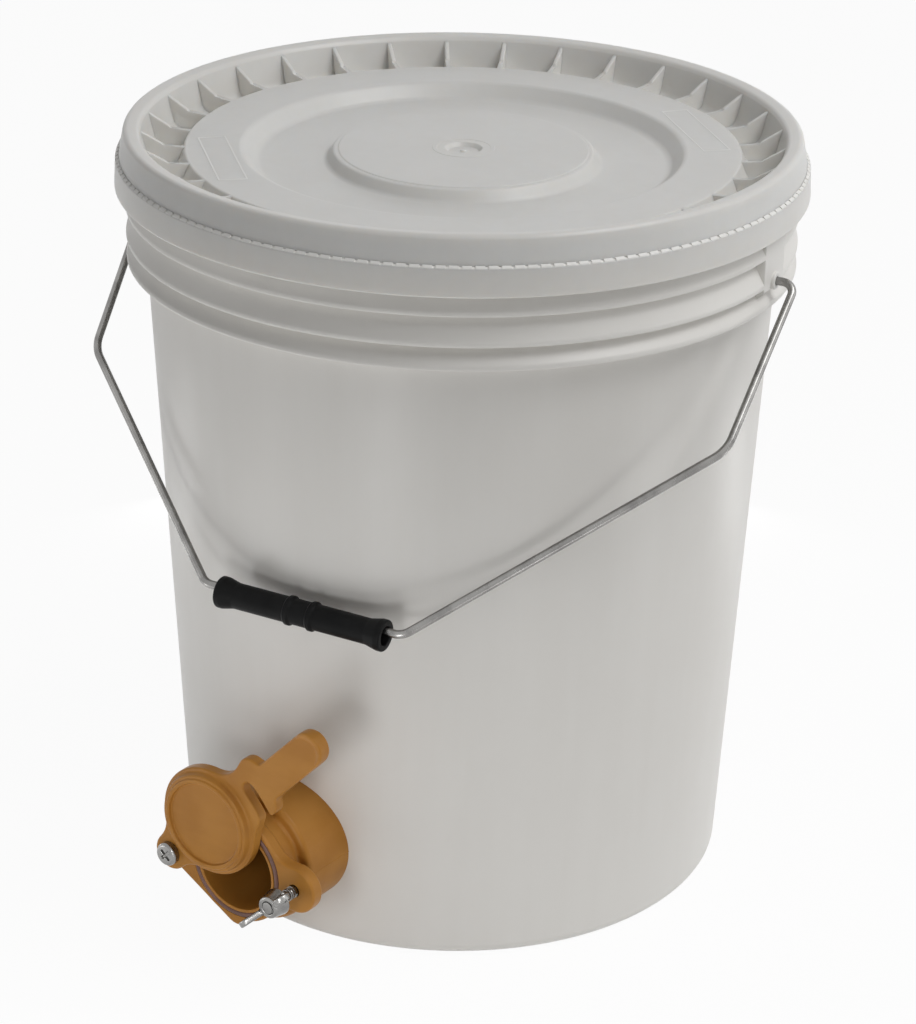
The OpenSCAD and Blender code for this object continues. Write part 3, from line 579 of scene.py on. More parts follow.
def given(piece, tree, **sizes):
    """Hang a tree on a piece, set its named inputs and bake the result."""
    maker = piece.modifiers.new("maker", "NODES")
    maker.node_group = tree
    for socket in tree.interface.items_tree:
        if socket.in_out == "INPUT" and socket.name in sizes:
            maker[socket.identifier] = sizes[socket.name]
    return settled(piece)


# %% [markdown]
# Thirty-two thin gussets bridge the lid's trough. Each starts level with the annulus, has a small
# step about halfway and climbs to the rim. Their ends sink into the lid's walls, as one moulding.

# %% Gussets
FIN_N, FIN_TURN, FIN_T = 32, 5.1, 2.2
FIN_OUT, FIN_RISE, FIN_LEVEL, FIN_STEP = 154.0, 2.7, 10.0, 1.2
FIN_KNEE, FIN_DIP, FIN_EDGE = 0.3, 0.15, 0.6


def gusset():
    inner = ANNULUS_R - LID_T / 2
    low = TROUGH_Z - LID_T / 2
    knee = ANNULUS_R + FIN_LEVEL
    bm = prism([(inner, low), (FIN_OUT, low), (FIN_OUT, RIM_Z - FIN_RISE), (knee, ANNULUS_Z + FIN_STEP),
                (knee - FIN_KNEE, ANNULUS_Z), (inner, ANNULUS_Z - FIN_DIP)], -FIN_T / 2, FIN_T / 2)
    crown = (ANNULUS_Z - 2 * FIN_DIP) * MM
    bevelled(bm, lambda e: all(v.co.z > crown for v in e.verts), FIN_EDGE)
    return shown("lid_gussets", bm, lid_white)


lid_gussets = given(gusset(), ring_tree(lid_white), count=FIN_N, first_angle=math.radians(FIN_TURN))
even_light(lid_gussets)
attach(lid_gussets, "lid")

# %% [markdown]
# Two plain raised frames stand on the annulus. A frame is one small ridge bent round a rectangle,
# so its outline is built as four strips with mitred corners and soft edges.

# %% Raised frames on the lid
FRAME_W, FRAME_D, FRAME_R = 67.0, 14.5, 116.2
FRAME_RIDGE, FRAME_H, FRAME_SLOPE, FRAME_SINK, FRAME_EDGE = 1.6, 0.16, 0.45, 0.3, 0.12
FRAME_ANGLES = (-131.8, 50.2)


def lid_frame(angle):
    bm = bmesh.new()
    rings = []
    for inset, z in ((0, -FRAME_SINK), (FRAME_SLOPE, FRAME_H), (FRAME_RIDGE - FRAME_SLOPE, FRAME_H),
                     (FRAME_RIDGE, -FRAME_SINK)):
        half_w, half_d = FRAME_W / 2 - inset, FRAME_D / 2 - inset
        spots = [(-half_d, -half_w), (half_d, -half_w), (half_d, half_w), (-half_d, half_w)]
        rings.append([bm.verts.new(((FRAME_R + x) * MM, y * MM, (ANNULUS_Z + z) * MM)) for x, y in spots])
    skinned(bm, rings, closed=True)
    top = (ANNULUS_Z + FRAME_H * 0.9) * MM
    bevelled(bm, lambda e: all(v.co.z > top for v in e.verts), FRAME_EDGE, 2)
    bmesh.ops.rotate(bm, verts=bm.verts, cent=(0, 0, 0), matrix=Matrix.Rotation(math.radians(angle), 3, "Z"))
    return bm


for mark, angle in zip("ab", FRAME_ANGLES):
    raised = even_light(shown("lid_frame_" + mark, lid_frame(angle), lid_painted_light_trim))
    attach(raised, "lid")

# %% [markdown]
# Below the skirt hangs the tear band, a ring with a hook that catches under the pail's bead. Along
# the line where it parts, a thin web and 180 small bridges join it to the skirt until the first
# opening. Both stay on the band, so that the lid can lift away from them.

# %% Tear band, web and bridges
BAND_R, BAND_FLARE, BAND_TOP, BAND_LOW = 165.2, 0.7, 363.3, 349.9
HOOK_R, HOOK_SLOPE, HOOK_Z = 157.8, 1.6, 350.8
WEB_R, WEB_SINK, WEB_LAP, WEB_LIP, WEB_CLEAR = 163.45, 0.2, 0.3, 0.06, 0.03
BRIDGE_N, BRIDGE_W, BRIDGE_H, BRIDGE_FOOT, BRIDGE_CLEAR = 180, 4.3, 1.1, 0.25, 0.05


def band_corners():
    low_r = BAND_R + BAND_FLARE
    return [(SKIRT_IN, BAND_TOP, 0.3), (BAND_R, BAND_TOP, 0.6), (low_r, BAND_LOW, 0.9),
            (HOOK_R + HOOK_SLOPE, BAND_LOW, 0.3), (HOOK_R, HOOK_Z + HOOK_SLOPE, 0.4),
            (HOOK_R, BEAD_Z, 0.3), (SKIRT_IN, BEAD_Z, 0.3)]


def web_corners():
    """A thin ring that closes the parting line, with a slope that leads out onto the band."""
    low, high, inner = BAND_TOP - WEB_SINK, PART_Z - WEB_CLEAR, SKIRT_IN + WEB_LAP
    return [(inner, low, 0), (BAND_R - WEB_LAP, low, 0), (BAND_R - 2 * WEB_LAP, BAND_TOP + WEB_LIP, 0.1),
            (WEB_R, high, 0.1), (inner, high, 0)]


def bridge():
    """A small wedge on the web that leans against the skirt."""
    low, high = BAND_TOP - BRIDGE_FOOT, PART_Z - WEB_CLEAR
    inner, leant = WEB_R - WEB_SINK, SKIRT_R + BRIDGE_CLEAR
    outline = [(inner, low), (BAND_R - WEB_SINK, low), (BAND_R - WEB_LAP, BAND_TOP + BRIDGE_FOOT),
               (leant, BAND_TOP + BRIDGE_H), (leant, high), (inner, high)]
    return shown("band_bridges", prism(outline, -BRIDGE_W / 2, BRIDGE_W / 2), lid_painted_light_trim)


band_shell = even_light(turned("band_shell", band_corners(), lid_white, closed=True))
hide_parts("tear_band")
band_web = even_light(turned("band_web", web_corners(), lid_painted_light_trim, closed=True))
band_bridges = given(bridge(), ring_tree(lid_painted_light_trim), count=BRIDGE_N, first_angle=0.0)
for piece in (band_shell, band_web, band_bridges):
    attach(piece, "pail")

# %% [markdown]
# The bail is one length of drawn wire, bent six times. Its corner points become a poly line, each
# with its own bend radius, and Geometry Nodes fillet the corners and sweep a round section along it.

# %% Bail wire
WIRE_R = 1.99
ELBOW_U, SEAT_U = 171.5, 153.9
GRIP_LEN = 88.0
# Each corner: its place along the ears' axis, how far it hangs below the axis, and its bend radius.
ROUTE = ((SEAT_U, 0, 0), (ELBOW_U, 0, 6), (167, 89, 18), (49, 210.5, 9),
         (-55.5, 207, 9), (-162.5, 101, 18), (-ELBOW_U, 0, 6), (-SEAT_U, 0, 0))
BAIL_GAP = 10.55
BEND_STEPS, WIRE_SIDES = 14, 24


def bail_lean():
    depth = (ROUTE[3][1] + ROUTE[4][1]) / 2
    fall = TAPER_R * depth / PAIL_H
    return math.asin((wall_r(EAR_Z) + BAIL_GAP) / math.hypot(depth, fall)) - math.atan2(fall, depth)


def swept(board, line, sides, radius):
    """A round section swept along a curve, with both ends closed."""
    ring = board.add("GeometryNodeCurvePrimitiveCircle", {"mode": "RADIUS"},
                     {"Resolution": sides, "Radius": radius})
    return board.add("GeometryNodeCurveToMesh",
                     sockets={"Curve": line, "Profile Curve": ring, "Fill Caps": True})


def rod_tree(material):
    board, signals = new_tree("bent_rod", rod_radius="Float", bend_steps="Int", sides="Int")
    route, rod_r, steps, sides = signals
    bend = board.add("GeometryNodeInputNamedAttribute", {"data_type": "FLOAT"}, {"Name": "bend"})
    line = board.add("GeometryNodeMeshToCurve", sockets={"Mesh": route})
    line = board.add("GeometryNodeFilletCurve", {"mode": "POLY"},
                     {"Curve": line, "Radius": bend, "Limit Radius": True, "Count": steps})
    return ended(board, swept(board, line, sides, rod_r), material)


def route_piece(name, points, bends):
    """A poly line of edges that carries each corner's bend radius."""
    mesh = bpy.data.meshes.new(name)
    mesh.from_pydata([Vector(p) * MM for p in points], [(i, i + 1) for i in range(len(points) - 1)], [])
    mesh.attributes.new("bend", "FLOAT", "POINT").data.foreach_set("value", [b * MM for b in bends])
    return placed(name, mesh)


lean = bail_lean()
ear_swing = Matrix.Rotation(math.radians(EAR_TURN), 3, "Z")
hang = Vector((0, -math.sin(lean), -math.cos(lean)))
bail_points = [ear_swing @ (Vector((u, 0, EAR_Z)) + hang * w) for u, w, _ in ROUTE]
bail_rod = route_piece("bail_rod", bail_points, [stop[-1] for stop in ROUTE])
given(bail_rod, rod_tree(bright_steel), rod_radius=WIRE_R * MM, bend_steps=BEND_STEPS, sides=WIRE_SIDES)
smooth_again(bail_rod)
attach(bail_rod, "bail")
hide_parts("bail_wire")
print("bail leans", round(math.degrees(lean), 3), "degrees")

# %% [markdown]
# The grip is a black tube that turns freely on the wire, with flared ends and two ridges near its
# middle. It is turned round Z like the rest and then laid along its joint's axis.

# %% Grip
GRIP_R, GRIP_END_R, GRIP_END, GRIP_BORE = 6.2, 7.6, 9.0, 4.6
RIDGE_GAP, RIDGE_W, RIDGE_H, GRIP_STEPS = 12.0, 3.6, 0.9, 64


def grip_corners():
    half = GRIP_LEN / 2
    near, far = RIDGE_GAP / 2 - RIDGE_W / 2, RIDGE_GAP / 2 + RIDGE_W / 2
    right = [(GRIP_R, near, 0.6), (GRIP_R + RIDGE_H, near + RIDGE_H, 0.5),
             (GRIP_R + RIDGE_H, far - RIDGE_H, 0.5), (GRIP_R, far, 0.6), (GRIP_R, half - GRIP_END, 4.0),
             (GRIP_END_R, half - GRIP_END / 3, 3.0), (GRIP_END_R, half, 0.9), (GRIP_BORE, half, 0.6)]
    return [(r, -z, f) for r, z, f in right[::-1]] + right


def laid_along(piece, joint):
    """Move a piece turned round Z to a joint's place and axis."""
    place, axis = Vector(joint["pos_m"]), Vector(joint["axis"])
    piece.data.transform(Matrix.Translation(place) @ axis.to_track_quat("Z", "Y").to_matrix().to_4x4())
    return piece


grip_tube = even_light(turned("grip_tube", grip_corners(), grip_black, closed=True, steps=GRIP_STEPS))
laid_along(grip_tube, joints["grip_spin"])
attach(grip_tube, "grip")
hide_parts("bail_grip")

# %% [markdown]
# The gate's flange and its shutter are flat mouldings with a soft edge all round. Their outlines
# come from the solids: the edge of one flat face gives the outer loop and the holes. Each loop is set
# out in even steps with its corners eased, and rings of points drawn in towards each face round it.

# %% Outlines of the flat mouldings
WELD, FLAT, LOOP_STEP, LOOP_LEAST, EDGE_STEPS = 0.004, 0.02, 0.8, 32, 4


def gate_frame(point):
    """A point as seen on the gate: right, up, and out of the flange's face."""
    return point.x / MM, point.z / MM - GATE_Z, gate_face_y - point.y / MM


def gate_point(right, up, out):
    """The way back, from a place on the gate to a point."""
    return Vector((right, gate_face_y - out, GATE_Z + up)) * MM


def welded(node):
    bm = bmesh.new()
    bm.from_mesh(nodes[node].data)
    bmesh.ops.remove_doubles(bm, verts=bm.verts, dist=WELD * MM)
    return bm


def area(loop):
    return sum(loop[k - 1].cross(point) for k, point in enumerate(loop)) / 2


def face_loops(node, level):
    """Closed loops round a solid's flat face at one distance from the flange's face."""
    bm = welded(node)
    flat = {f for f in bm.faces if all(abs(gate_frame(v.co)[2] - level) < FLAT for v in f.verts)}
    ahead = {}
    for edge in bm.edges:
        corners = [c for c in edge.link_loops if c.face in flat]
        if len(corners) == 1:
            ahead[corners[0].vert] = corners[0].link_loop_next.vert
    loops = []
    while ahead:
        start, point = ahead.popitem()
        ring = [start]
        while point is not start:
            ring.append(point)
            point = ahead.pop(point)
        loops.append([Vector(gate_frame(v.co)[:2]) for v in ring])
    bm.free()
    return sorted(loops, key=lambda loop: -abs(area(loop)))


def eased(loop, passes):
    """Even steps along a loop, with its corners rounded by averaging neighbours."""
    spans = [(loop[(k + 1) % len(loop)] - point).length for k, point in enumerate(loop)]
    count = max(LOOP_LEAST, round(sum(spans) / LOOP_STEP))
    even, k, gone = [], 0, 0.0
    for aim in [sum(spans) * i / count for i in range(count)]:
        while gone + spans[k] < aim:
            gone += spans[k]
            k += 1
        even.append(loop[k].lerp(loop[(k + 1) % len(loop)], (aim - gone) / spans[k]))
    for _ in range(passes):
        even = [(even[i - 1] + 2 * point + even[(i + 1) % count]) / 4 for i, point in enumerate(even)]
    return even


# %% Plates with soft edges
def edge_rings(back, front, edge):
    """How far each ring is drawn in and its level, from the back face round to the front."""
    turns = [math.pi / 2 * k / EDGE_STEPS for k in range(EDGE_STEPS + 1)]
    low = [(edge * (1 - math.cos(a)), back + edge * (1 - math.sin(a))) for a in turns[::-1]]
    return low + [(edge * (1 - math.cos(a)), front - edge * (1 - math.sin(a))) for a in turns]


def soft_plate(name, loops, back, front, edges, material):
    """A plate between two levels; the first loop is its outline and the others are holes."""
    bm = bmesh.new()
    faces = {back: [], front: []}
    for i, loop in enumerate(loops):
        loop = loop if (area(loop) > 0) == (i == 0) else loop[::-1]
        count = len(loop)
        strides = [loop[(k + 1) % count] - loop[k - 1] for k in range(count)]
        outward = [Vector((step.y, -step.x)).normalized() for step in strides]
        rings = []
        for inset, level in edge_rings(back, front, edges[min(i, 1)]):
            spots = [point - way * inset for point, way in zip(loop, outward)]
            rings.append([bm.verts.new(gate_point(p.x, p.y, level)) for p in spots])
        skinned(bm, rings)
        for level, ring in ((back, rings[0]), (front, rings[-1])):
            faces[level] += [bm.edges.get((ring[k - 1], ring[k])) for k in range(count)]
    for rim in faces.values():
        bmesh.ops.triangle_fill(bm, edges=rim, use_beauty=True)
    return even_light(shown(name, bm, material))


def on_gate(piece, right=0.0, up=0.0):
    """Stand a piece that was turned round Z on the gate, with Z pointing out of it."""
    stand = Matrix(((1, 0, 0), (0, 0, -1), (0, 1, 0))).to_4x4()
    piece.data.transform(Matrix.Translation(gate_point(right, up, 0)) @ stand)
    return piece


# %% [markdown]
# The gate body is the flange plate plus everything that is turned round the bore: the lip and the
# groove for the seal, the bore, the threaded spigot inside the pail, and a barrel with a rounded
# shoulder. The barrel's end is fitted to the pail by moving its last points onto the wall's cone.

# %% Gate body
PIVOT_X, STUD_X, FLANGE_T = -34.5, 35.0, 7.0
BORE_IN_R, LIP_R, LIP_H, GROOVE_R, GROOVE_D = 21.5, 23.1, 0.3, 25.9, 2.2
SPIGOT_R, SPIGOT_OUT, GATE_REACH = 25.0, -64.2, 41.0
GATE_NECK_R, FLARE_R, FLARE_OUT, FLARE_ROUND = 27.5, 33.2, -14.5, 4.0
SEAT_GAP, GROOVE_LAP, NECK_BACK, PAST_WALL, FIT_DEPTH = 0.05, 0.05, -4.0, 2.0, 5.0
FLANGE_EDGES, FLANGE_EASE, GATE_STEPS = (1.3, 0.3), 3, 128


def barrel_corners():
    wall, groove = -GATE_REACH - PAST_WALL, GROOVE_R + GROOVE_LAP
    return [(groove, -GROOVE_D, 0.15), (LIP_R, -GROOVE_D, 0.15), (LIP_R, LIP_H, 0.25),
            (BORE_IN_R, LIP_H, 0.5), (BORE_IN_R, SPIGOT_OUT, 0.4), (SPIGOT_R, SPIGOT_OUT, 0.6),
            (SPIGOT_R, wall, 0), (FLARE_R, wall, 0), (FLARE_R, FLARE_OUT, FLARE_ROUND),
            (GATE_NECK_R, FLARE_OUT, 1.6), (GATE_NECK_R, NECK_BACK, 0), (groove, NECK_BACK, 0)]


def fitted_to_wall(piece):
    """Move the barrel's last points onto the wall, before it is stood on the gate."""
    for vert in piece.data.vertices:
        right, up, out = vert.co / MM
        if math.hypot(right, up) > GROOVE_R and out < FIT_DEPTH - GATE_REACH:
            vert.co.z = (gate_face_y + math.sqrt(wall_r(GATE_Z + up) ** 2 - right ** 2) + SEAT_GAP) * MM
    return piece


barrel = turned("gate_barrel", barrel_corners(), gate_ochre, closed=True, steps=GATE_STEPS)
gate_barrel = even_light(on_gate(fitted_to_wall(barrel)))
flange_loops = [eased(loop, 0 if i else FLANGE_EASE) for i, loop in enumerate(face_loops("gate_body", 0.0))]
gate_flange = soft_plate("gate_flange", flange_loops, -FLANGE_T, 0.0, FLANGE_EDGES, gate_ochre)
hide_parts("gate_body")
for piece in (gate_barrel, gate_flange):
    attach(piece, "pail")
print("flange", len(flange_loops), "loops")

# %% [markdown]
# Where the two halves of the mould met, a fine ridge runs along each side of the barrel and over its
# shoulder. The tree that swept the bail's wire sweeps these too, with a hair-thin section.

# %% Parting ridges
RIDGE_R, RIDGE_SINK, RIDGE_STEPS, RIDGE_PAST, RIDGE_STOP = 0.3, 0.12, 8, 4.0, 0.5


def parting_ridge(name, side):
    ways = [(FLARE_R, -GATE_REACH - RIDGE_PAST, 0), (FLARE_R, FLARE_OUT, FLARE_ROUND),
            (GATE_NECK_R + RIDGE_STOP, FLARE_OUT, 0)]
    points = [gate_point(side * (r - RIDGE_SINK), 0, out) / MM for r, out, _ in ways]
    ridge = route_piece(name, points, [way[-1] for way in ways])
    given(ridge, rod_tree(gate_ochre), rod_radius=RIDGE_R * MM, bend_steps=RIDGE_STEPS, sides=RIDGE_STEPS)
    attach(smooth_again(ridge), "pail")


parting_ridge("parting_ridge_right", 1)
parting_ridge("parting_ridge_left", -1)

# %% [markdown]
# The shutter is a plate of even thickness. On it stand a turned middle with a round bead and a bare
# sunken face, and a rim at the lever's tip that is high at the end and thins out along both sides.

# %% Shutter
PIVOT_ARM, SHUTTER_OPEN = 34.5, math.radians(46.0)
PLATE_BACK, PLATE_FRONT = 0.8, 6.8
PUCK_TOP, PUCK_R, PUCK_FOOT = 10.0, 24.4, 25.8
PUCK_LAP, PUCK_UNDER, PUCK_TOE, PUCK_STEP, PUCK_LEAN = 1.0, 0.02, 0.4, 0.25, 0.2
BEAD_RING_R, BEAD_RING_W, BEAD_RING_H, BEAD_SLOPE, FACE_SINK = 23.2, 2.6, 0.9, 0.35, 0.8
LEVER_TIP, LEVER_HALF, TIP_RIM, TIP_H = (117.0, -3.0), 8.5, 3.4, 1.4
TIP_SWEEP, TIP_STEPS, TIP_LEAST, TIP_FADE = math.radians(105.0), 42, 0.04, 0.8
TIP_SIDE, TIP_CREST, TIP_SINK, TIP_TOE, TIP_END, TIP_LIFT = 0.07, 1.2, 1.5, 0.2, 0.3, 0.01
TIP_ROUND, TIP_SLOPE = ((0, 1.1), (0.16, 0.55), (0.55, 0.14)), ((0, 0), (0.3, 0.12), (0.65, 0.7))
SHUTTER_EDGES, SHUTTER_EASE = (1.1, 0.3), 6


def on_shutter(x, y):
    """Right and up on the gate of a place on the shutter, with x from the pivot along the lever."""
    c, s = math.cos(SHUTTER_OPEN), math.sin(SHUTTER_OPEN)
    return PIVOT_X + x * c - y * s, x * s + y * c


def puck_corners():
    inner, face, crest = BEAD_RING_R - BEAD_RING_W, PUCK_TOP - FACE_SINK, PUCK_TOP + BEAD_RING_H
    hem, low = PUCK_FOOT + PUCK_LAP, PLATE_FRONT - PUCK_LAP
    return [(0, low, 0), (hem, low, 0), (hem, PLATE_FRONT - PUCK_UNDER, 0),
            (PUCK_FOOT - PUCK_TOE, PLATE_FRONT + PUCK_STEP, 1.8), (PUCK_R + PUCK_LEAN, PUCK_TOP, 1.6),
            (BEAD_RING_R, PUCK_TOP, 0.6), (BEAD_RING_R - BEAD_SLOPE, crest, 0.7),
            (inner + BEAD_SLOPE, crest, 0.7), (inner, face, 0.8), (0, face, 0)]


def tip_section(share):
    """Closed outline of the rim across the lever: distance from the tip's middle, and level."""
    rise, run = TIP_H * share, TIP_RIM * share
    side, crest = LEVER_HALF - TIP_SIDE, LEVER_HALF - TIP_CREST
    low, top = PLATE_FRONT - TIP_SINK, PLATE_FRONT + rise
    edge = [(side - inset, top - drop) for inset, drop in TIP_ROUND]
    slope = [(crest - run * way, top - rise * drop) for way, drop in TIP_SLOPE]
    return [(side, low), *edge, *slope, (crest - run - TIP_TOE, PLATE_FRONT + TIP_LIFT),
            (crest - run - TIP_END, low)]


def tip_rim():
    bm = bmesh.new()
    rows = []
    for k in range(TIP_STEPS + 1):
        way = 2 * k / TIP_STEPS - 1
        share = TIP_LEAST + (1 - TIP_LEAST) * math.cos(way * math.pi / 2) ** TIP_FADE
        a = way * TIP_SWEEP
        tip = Vector(LEVER_TIP)
        spots = [(tip + r * Vector((math.cos(a), math.sin(a))), z) for r, z in tip_section(share)]
        rows.append([bm.verts.new(gate_point(*on_shutter(*place), z)) for place, z in spots])
    skinned(bm, rows)
    bm.faces.new(rows[0])
    bm.faces.new(rows[-1][::-1])
    return bm


shutter_faces = face_loops("gate_shutter", PLATE_BACK)
shutter_loops = [eased(loop, 0 if i else SHUTTER_EASE) for i, loop in enumerate(shutter_faces)]
shutter_plate = soft_plate("shutter_plate", shutter_loops, PLATE_BACK, PLATE_FRONT, SHUTTER_EDGES, gate_ochre)
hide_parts("gate_shutter")
shutter_puck = turned("shutter_puck", puck_corners(), gate_ochre, steps=GATE_STEPS)
even_light(on_gate(shutter_puck, *on_shutter(PIVOT_ARM, 0)))
shutter_tip = even_light(shown("shutter_tip", tip_rim(), gate_ochre))
for piece in (shutter_plate, shutter_puck, shutter_tip):
    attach(piece, "shutter")
print("shutter", len(shutter_loops), "loops")

# %% [markdown]
# The fasteners and the ring nut are small, so a welded copy of each solid's mesh is enough: its flat
# faces are joined and every sharp edge gets a small rounding, as on a rolled head or a cast wing.

# %% Fasteners and ring nut
SHARP, SAME_FACE, ROUND_STEPS = 24.0, 0.5, 3


def softened(name, node, material, width):
    bm = welded(node)
    bmesh.ops.dissolve_limit(bm, angle_limit=math.radians(SAME_FACE), verts=bm.verts, edges=bm.edges)
    piece = shown(name, bm, material)
    rounder = piece.modifiers.new("round", "BEVEL")
    rounder.limit_method, rounder.angle_limit = "ANGLE", math.radians(SHARP)
    rounder.width, rounder.segments = width * MM, ROUND_STEPS
    rounder.use_clamp_overlap = False
    rounder.miter_outer = "MITER_ARC"
    settled(piece)
    return smooth_again(piece)


PAINTS = {"bright_steel": bright_steel, "gate_ochre": gate_ochre}
# Each row: the piece, its solid, its body, the rounding of its edges and its finish.
SMALL = (("screw_bright", "pivot_screw", "pail", 0.3, "bright_steel"),
         ("nut_bright", "pivot_nut", "pail", 0.35, "bright_steel"),
         ("bolt_bright", "clamp_bolt", "pail", 0.35, "bright_steel"),
         ("wings_bright", "wing_nut", "wing_nut", 0.8, "bright_steel"),
         ("ring_nut_shell", "ring_nut", "pail", 0.7, "gate_ochre"))
small = {}
for name, node, body, width, slot in SMALL:
    small[name] = softened(name, node, PAINTS[slot], width)
    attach(small[name], body)
    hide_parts(node)

# %% [markdown]
# Threads are spirals: a tree draws one with a given radius, rise and number of turns, and sweeps a
# small pointed section along it. The clamp bolt's shank is first thinned to the thread's root.

# %% Threads
BOLT_R, BOLT_ROOT = 3.0, 2.74
SPIRAL_STEPS, SECTION_SIDES, THREAD_ANGLE = 28, 4, 30.0
# Each row: the piece, its place to the right, start, turns, pitch, radius, ridge and finish.
THREADS = (("bolt_thread", STUD_X, 1.0, 19, 1.0, BOLT_R - 0.24, 0.25, "bright_steel"),
           ("spigot_thread", 0.0, -63.0, 5, 3.4, SPIGOT_R - 0.1, 0.9, "gate_ochre"))


def thread_tree(material):
    board, signals = new_tree("thread", turns="Float", thread_radius="Float", rise="Float", ridge="Float")
    turns, radius, rise, ridge = signals[1:]
    path = board.add("GeometryNodeCurveSpiral", sockets={
        "Resolution": SPIRAL_STEPS, "Rotations": turns, "Start Radius": radius, "End Radius": radius,
        "Height": rise})
    return ended(board, swept(board, path, SECTION_SIDES, ridge), material)


for vert in small["bolt_bright"].data.vertices:
    right, up, out = gate_frame(vert.co)
    reach = math.hypot(right - STUD_X, up)
    if out > -FLANGE_T and reach > BOLT_ROOT:
        vert.co = gate_point(STUD_X + (right - STUD_X) * BOLT_ROOT / reach, up * BOLT_ROOT / reach, out)
for name, right, start, turns, pitch, radius, ridge, slot in THREADS:
    thread = route_piece(name, [(0, 0, 0), (0, 0, 1)], [0, 0])
    given(thread, thread_tree(PAINTS[slot]), turns=float(turns), thread_radius=radius * MM,
          rise=turns * pitch * MM, ridge=ridge * MM)
    thread.data.transform(Matrix.Translation((0, 0, start * MM)))
    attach(smooth_again(on_gate(thread, right), THREAD_ANGLE), "pail")

# %% [markdown]
# The gasket and the ring seal keep their solids, because a plain ring is what they are. They only
# get their own finishes.

# %% Seals
for node, material in (("barrel_gasket", seal_rubber), ("shutter_seal", ring_seal)):
    nodes[node].data.materials.clear()
    nodes[node].data.materials.append(material)
    nodes[node].data.shade_smooth()
    print(node, "finished in", material.name)

# %% [markdown]
# The studio: a white floor, two soft lamps high on the right, a weak one at the right and a narrow
# one at the left that draws a line down the pail's edge. A small one looks into the gate. A wide lamp
# lies on the floor at the left, and eight small ones stand low round the pail, as a lit white sweep
# would light it. The floor shows white to the camera and in reflections, and keeps a soft shadow from
# its share of plain diffuse.

# %% Floor and world
FLOOR_SIZE, FLOOR_GLOW, FLOOR_GREY = 6.0, 0.95, (0.86, 0.86, 0.855, 1)
AMBIENT = 0.15


def studio_rays(board):
    """1 for rays from the camera, and for those that metal or glass sends on."""
    path = board.tree.nodes.new("ShaderNodeLightPath")
    ports = [path.outputs[name] for name in ("Is Camera Ray", "Is Glossy Ray", "Is Transmission Ray")]
    camera, glossy, passing = [Signal(board, port) for port in ports]
    return camera.sum_of("MAXIMUM", glossy).sum_of("MAXIMUM", passing)


def floor_finish():
    material = bpy.data.materials.new("studio_floor")
    board = blank_board(material)
    plain = board.add("ShaderNodeBsdfDiffuse", sockets={"Color": FLOOR_GREY})
    glow = board.add("ShaderNodeEmission", sockets={"Color": (1, 1, 1, 1), "Strength": 1.0})
    mixed = board.add("ShaderNodeMixShader", sockets={0: studio_rays(board) * FLOOR_GLOW, 1: plain, 2: glow})
    board.add("ShaderNodeOutputMaterial", sockets={"Surface": mixed})
    return material


def studio_floor():
    bm = bmesh.new()
    bmesh.ops.create_grid(bm, x_segments=1, y_segments=1, size=FLOOR_SIZE / 2)
    return shown("studio_floor", bm, floor_finish())


studio_floor()
world = bpy.data.worlds.new("studio")
bpy.context.scene.world = world
sky = blank_board(world)
seen = sky.add("ShaderNodeBackground", sockets={"Color": (1, 1, 1, 1), "Strength": 1.0})
fill = sky.add("ShaderNodeBackground", sockets={"Color": (1, 0.99, 0.97, 1), "Strength": AMBIENT})
both = sky.add("ShaderNodeMixShader", sockets={0: studio_rays(sky), 1: fill, 2: seen})
sky.add("ShaderNodeOutputWorld", sockets={"Surface": both})
print("world and floor ready")

# %% Lamps
HIGH_AIM, SIDE_AIM, LOW_AIM = (0, 0, 0.3), (0, 0, 0.2), (0, 0, 0.03)
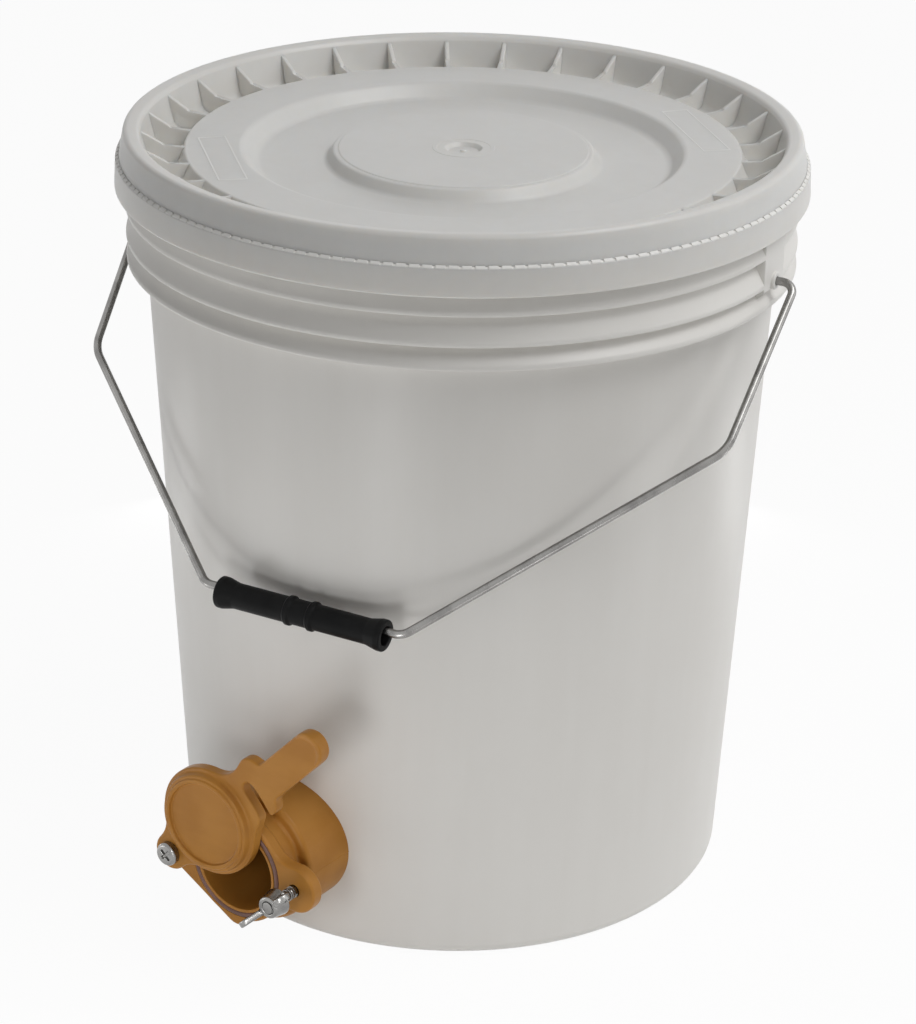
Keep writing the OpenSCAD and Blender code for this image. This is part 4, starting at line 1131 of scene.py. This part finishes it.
# Each row: the lamp, where it stands, where it points, its size in metres and its power in watts.
LAMPS = [("key", (1.36, -0.02, 2.0), HIGH_AIM, 1.1, 10.5),
         ("crown", (1.014, 0.471, 2.0), HIGH_AIM, 1.1, 9.8),
         ("right", (1.529, 0.956, 0.7), SIDE_AIM, 1.1, 2.6),
         ("left_line", (-1.413, -1.119, 0.7), SIDE_AIM, 0.4, 0.6),
         ("gate_side", (0.1, -0.42, 0.16), (0, -0.16, 0.045), 0.08, 0.16),
         ("floor_left", (-0.281, -0.504, 0.004), (-0.281, -0.504, 1.0), 0.6, 0.4)]
LOW_N, LOW_TURN, LOW_R, LOW_UP, LOW_SIZE, LOW_POWER = 8, 0.3, 0.45, 0.05, 0.09, 0.07
for k in range(LOW_N):
    a = math.tau * (k + LOW_TURN) / LOW_N
    place = (LOW_R * math.cos(a), LOW_R * math.sin(a), LOW_UP)
    LAMPS.append((f"low_{k}", place, LOW_AIM, LOW_SIZE, LOW_POWER))


def lamp(name, place, aim, size, power):
    """A round soft lamp that the camera doesn't see."""
    light = bpy.data.lights.new(name, "AREA")
    light.shape, light.size, light.energy = "DISK", size, power
    holder = placed(name, light)
    holder.location, holder.visible_camera = place, False
    holder.rotation_euler = (Vector(aim) - Vector(place)).to_track_quat("-Z", "Y").to_euler()
    print("lamp", name, power, "W")


for row in LAMPS:
    lamp(*row)

# %% [markdown]
# The camera stands where the photograph was taken: a long lens, well above the lid, turned to the
# right of the gate. The frame is 916 by 1024, so the lens is found from its focal length in pixels.

# %% Camera
FRAME_PX, FOCAL_PX, CENTRE_SHIFT_PX, SENSOR = 1024, 3254.5, -47.0, 36.0
CAM_BACK, CAM_UP, CAM_ROUND = 1487.3, 838.8, 35.2
PITCH, YAW, ROLL = 0.4194, 0.0158, 0.022


def photo_camera():
    data = bpy.data.cameras.new("photo_camera")
    data.sensor_width, data.lens = SENSOR, FOCAL_PX / FRAME_PX * SENSOR
    data.shift_x = CENTRE_SHIFT_PX / FRAME_PX
    ahead = Vector((math.sin(YAW) * math.cos(PITCH), math.cos(YAW) * math.cos(PITCH), -math.sin(PITCH)))
    right = Vector((math.cos(YAW), -math.sin(YAW), 0))
    up = right.cross(ahead)
    tipped = math.cos(ROLL) * right + math.sin(ROLL) * up
    raised = math.cos(ROLL) * up - math.sin(ROLL) * right
    turn = Matrix((tipped, raised, -ahead)).transposed().to_4x4()
    camera = placed("photo_camera", data)
    place = Matrix.Translation(Vector((0, -CAM_BACK, CAM_UP)) * MM)
    camera.matrix_world = Matrix.Rotation(math.radians(CAM_ROUND), 4, "Z") @ place @ turn
    bpy.context.scene.camera = camera
    print("camera lens", round(data.lens, 2), "mm")


photo_camera()
bpy.context.scene.view_settings.view_transform = "Standard"
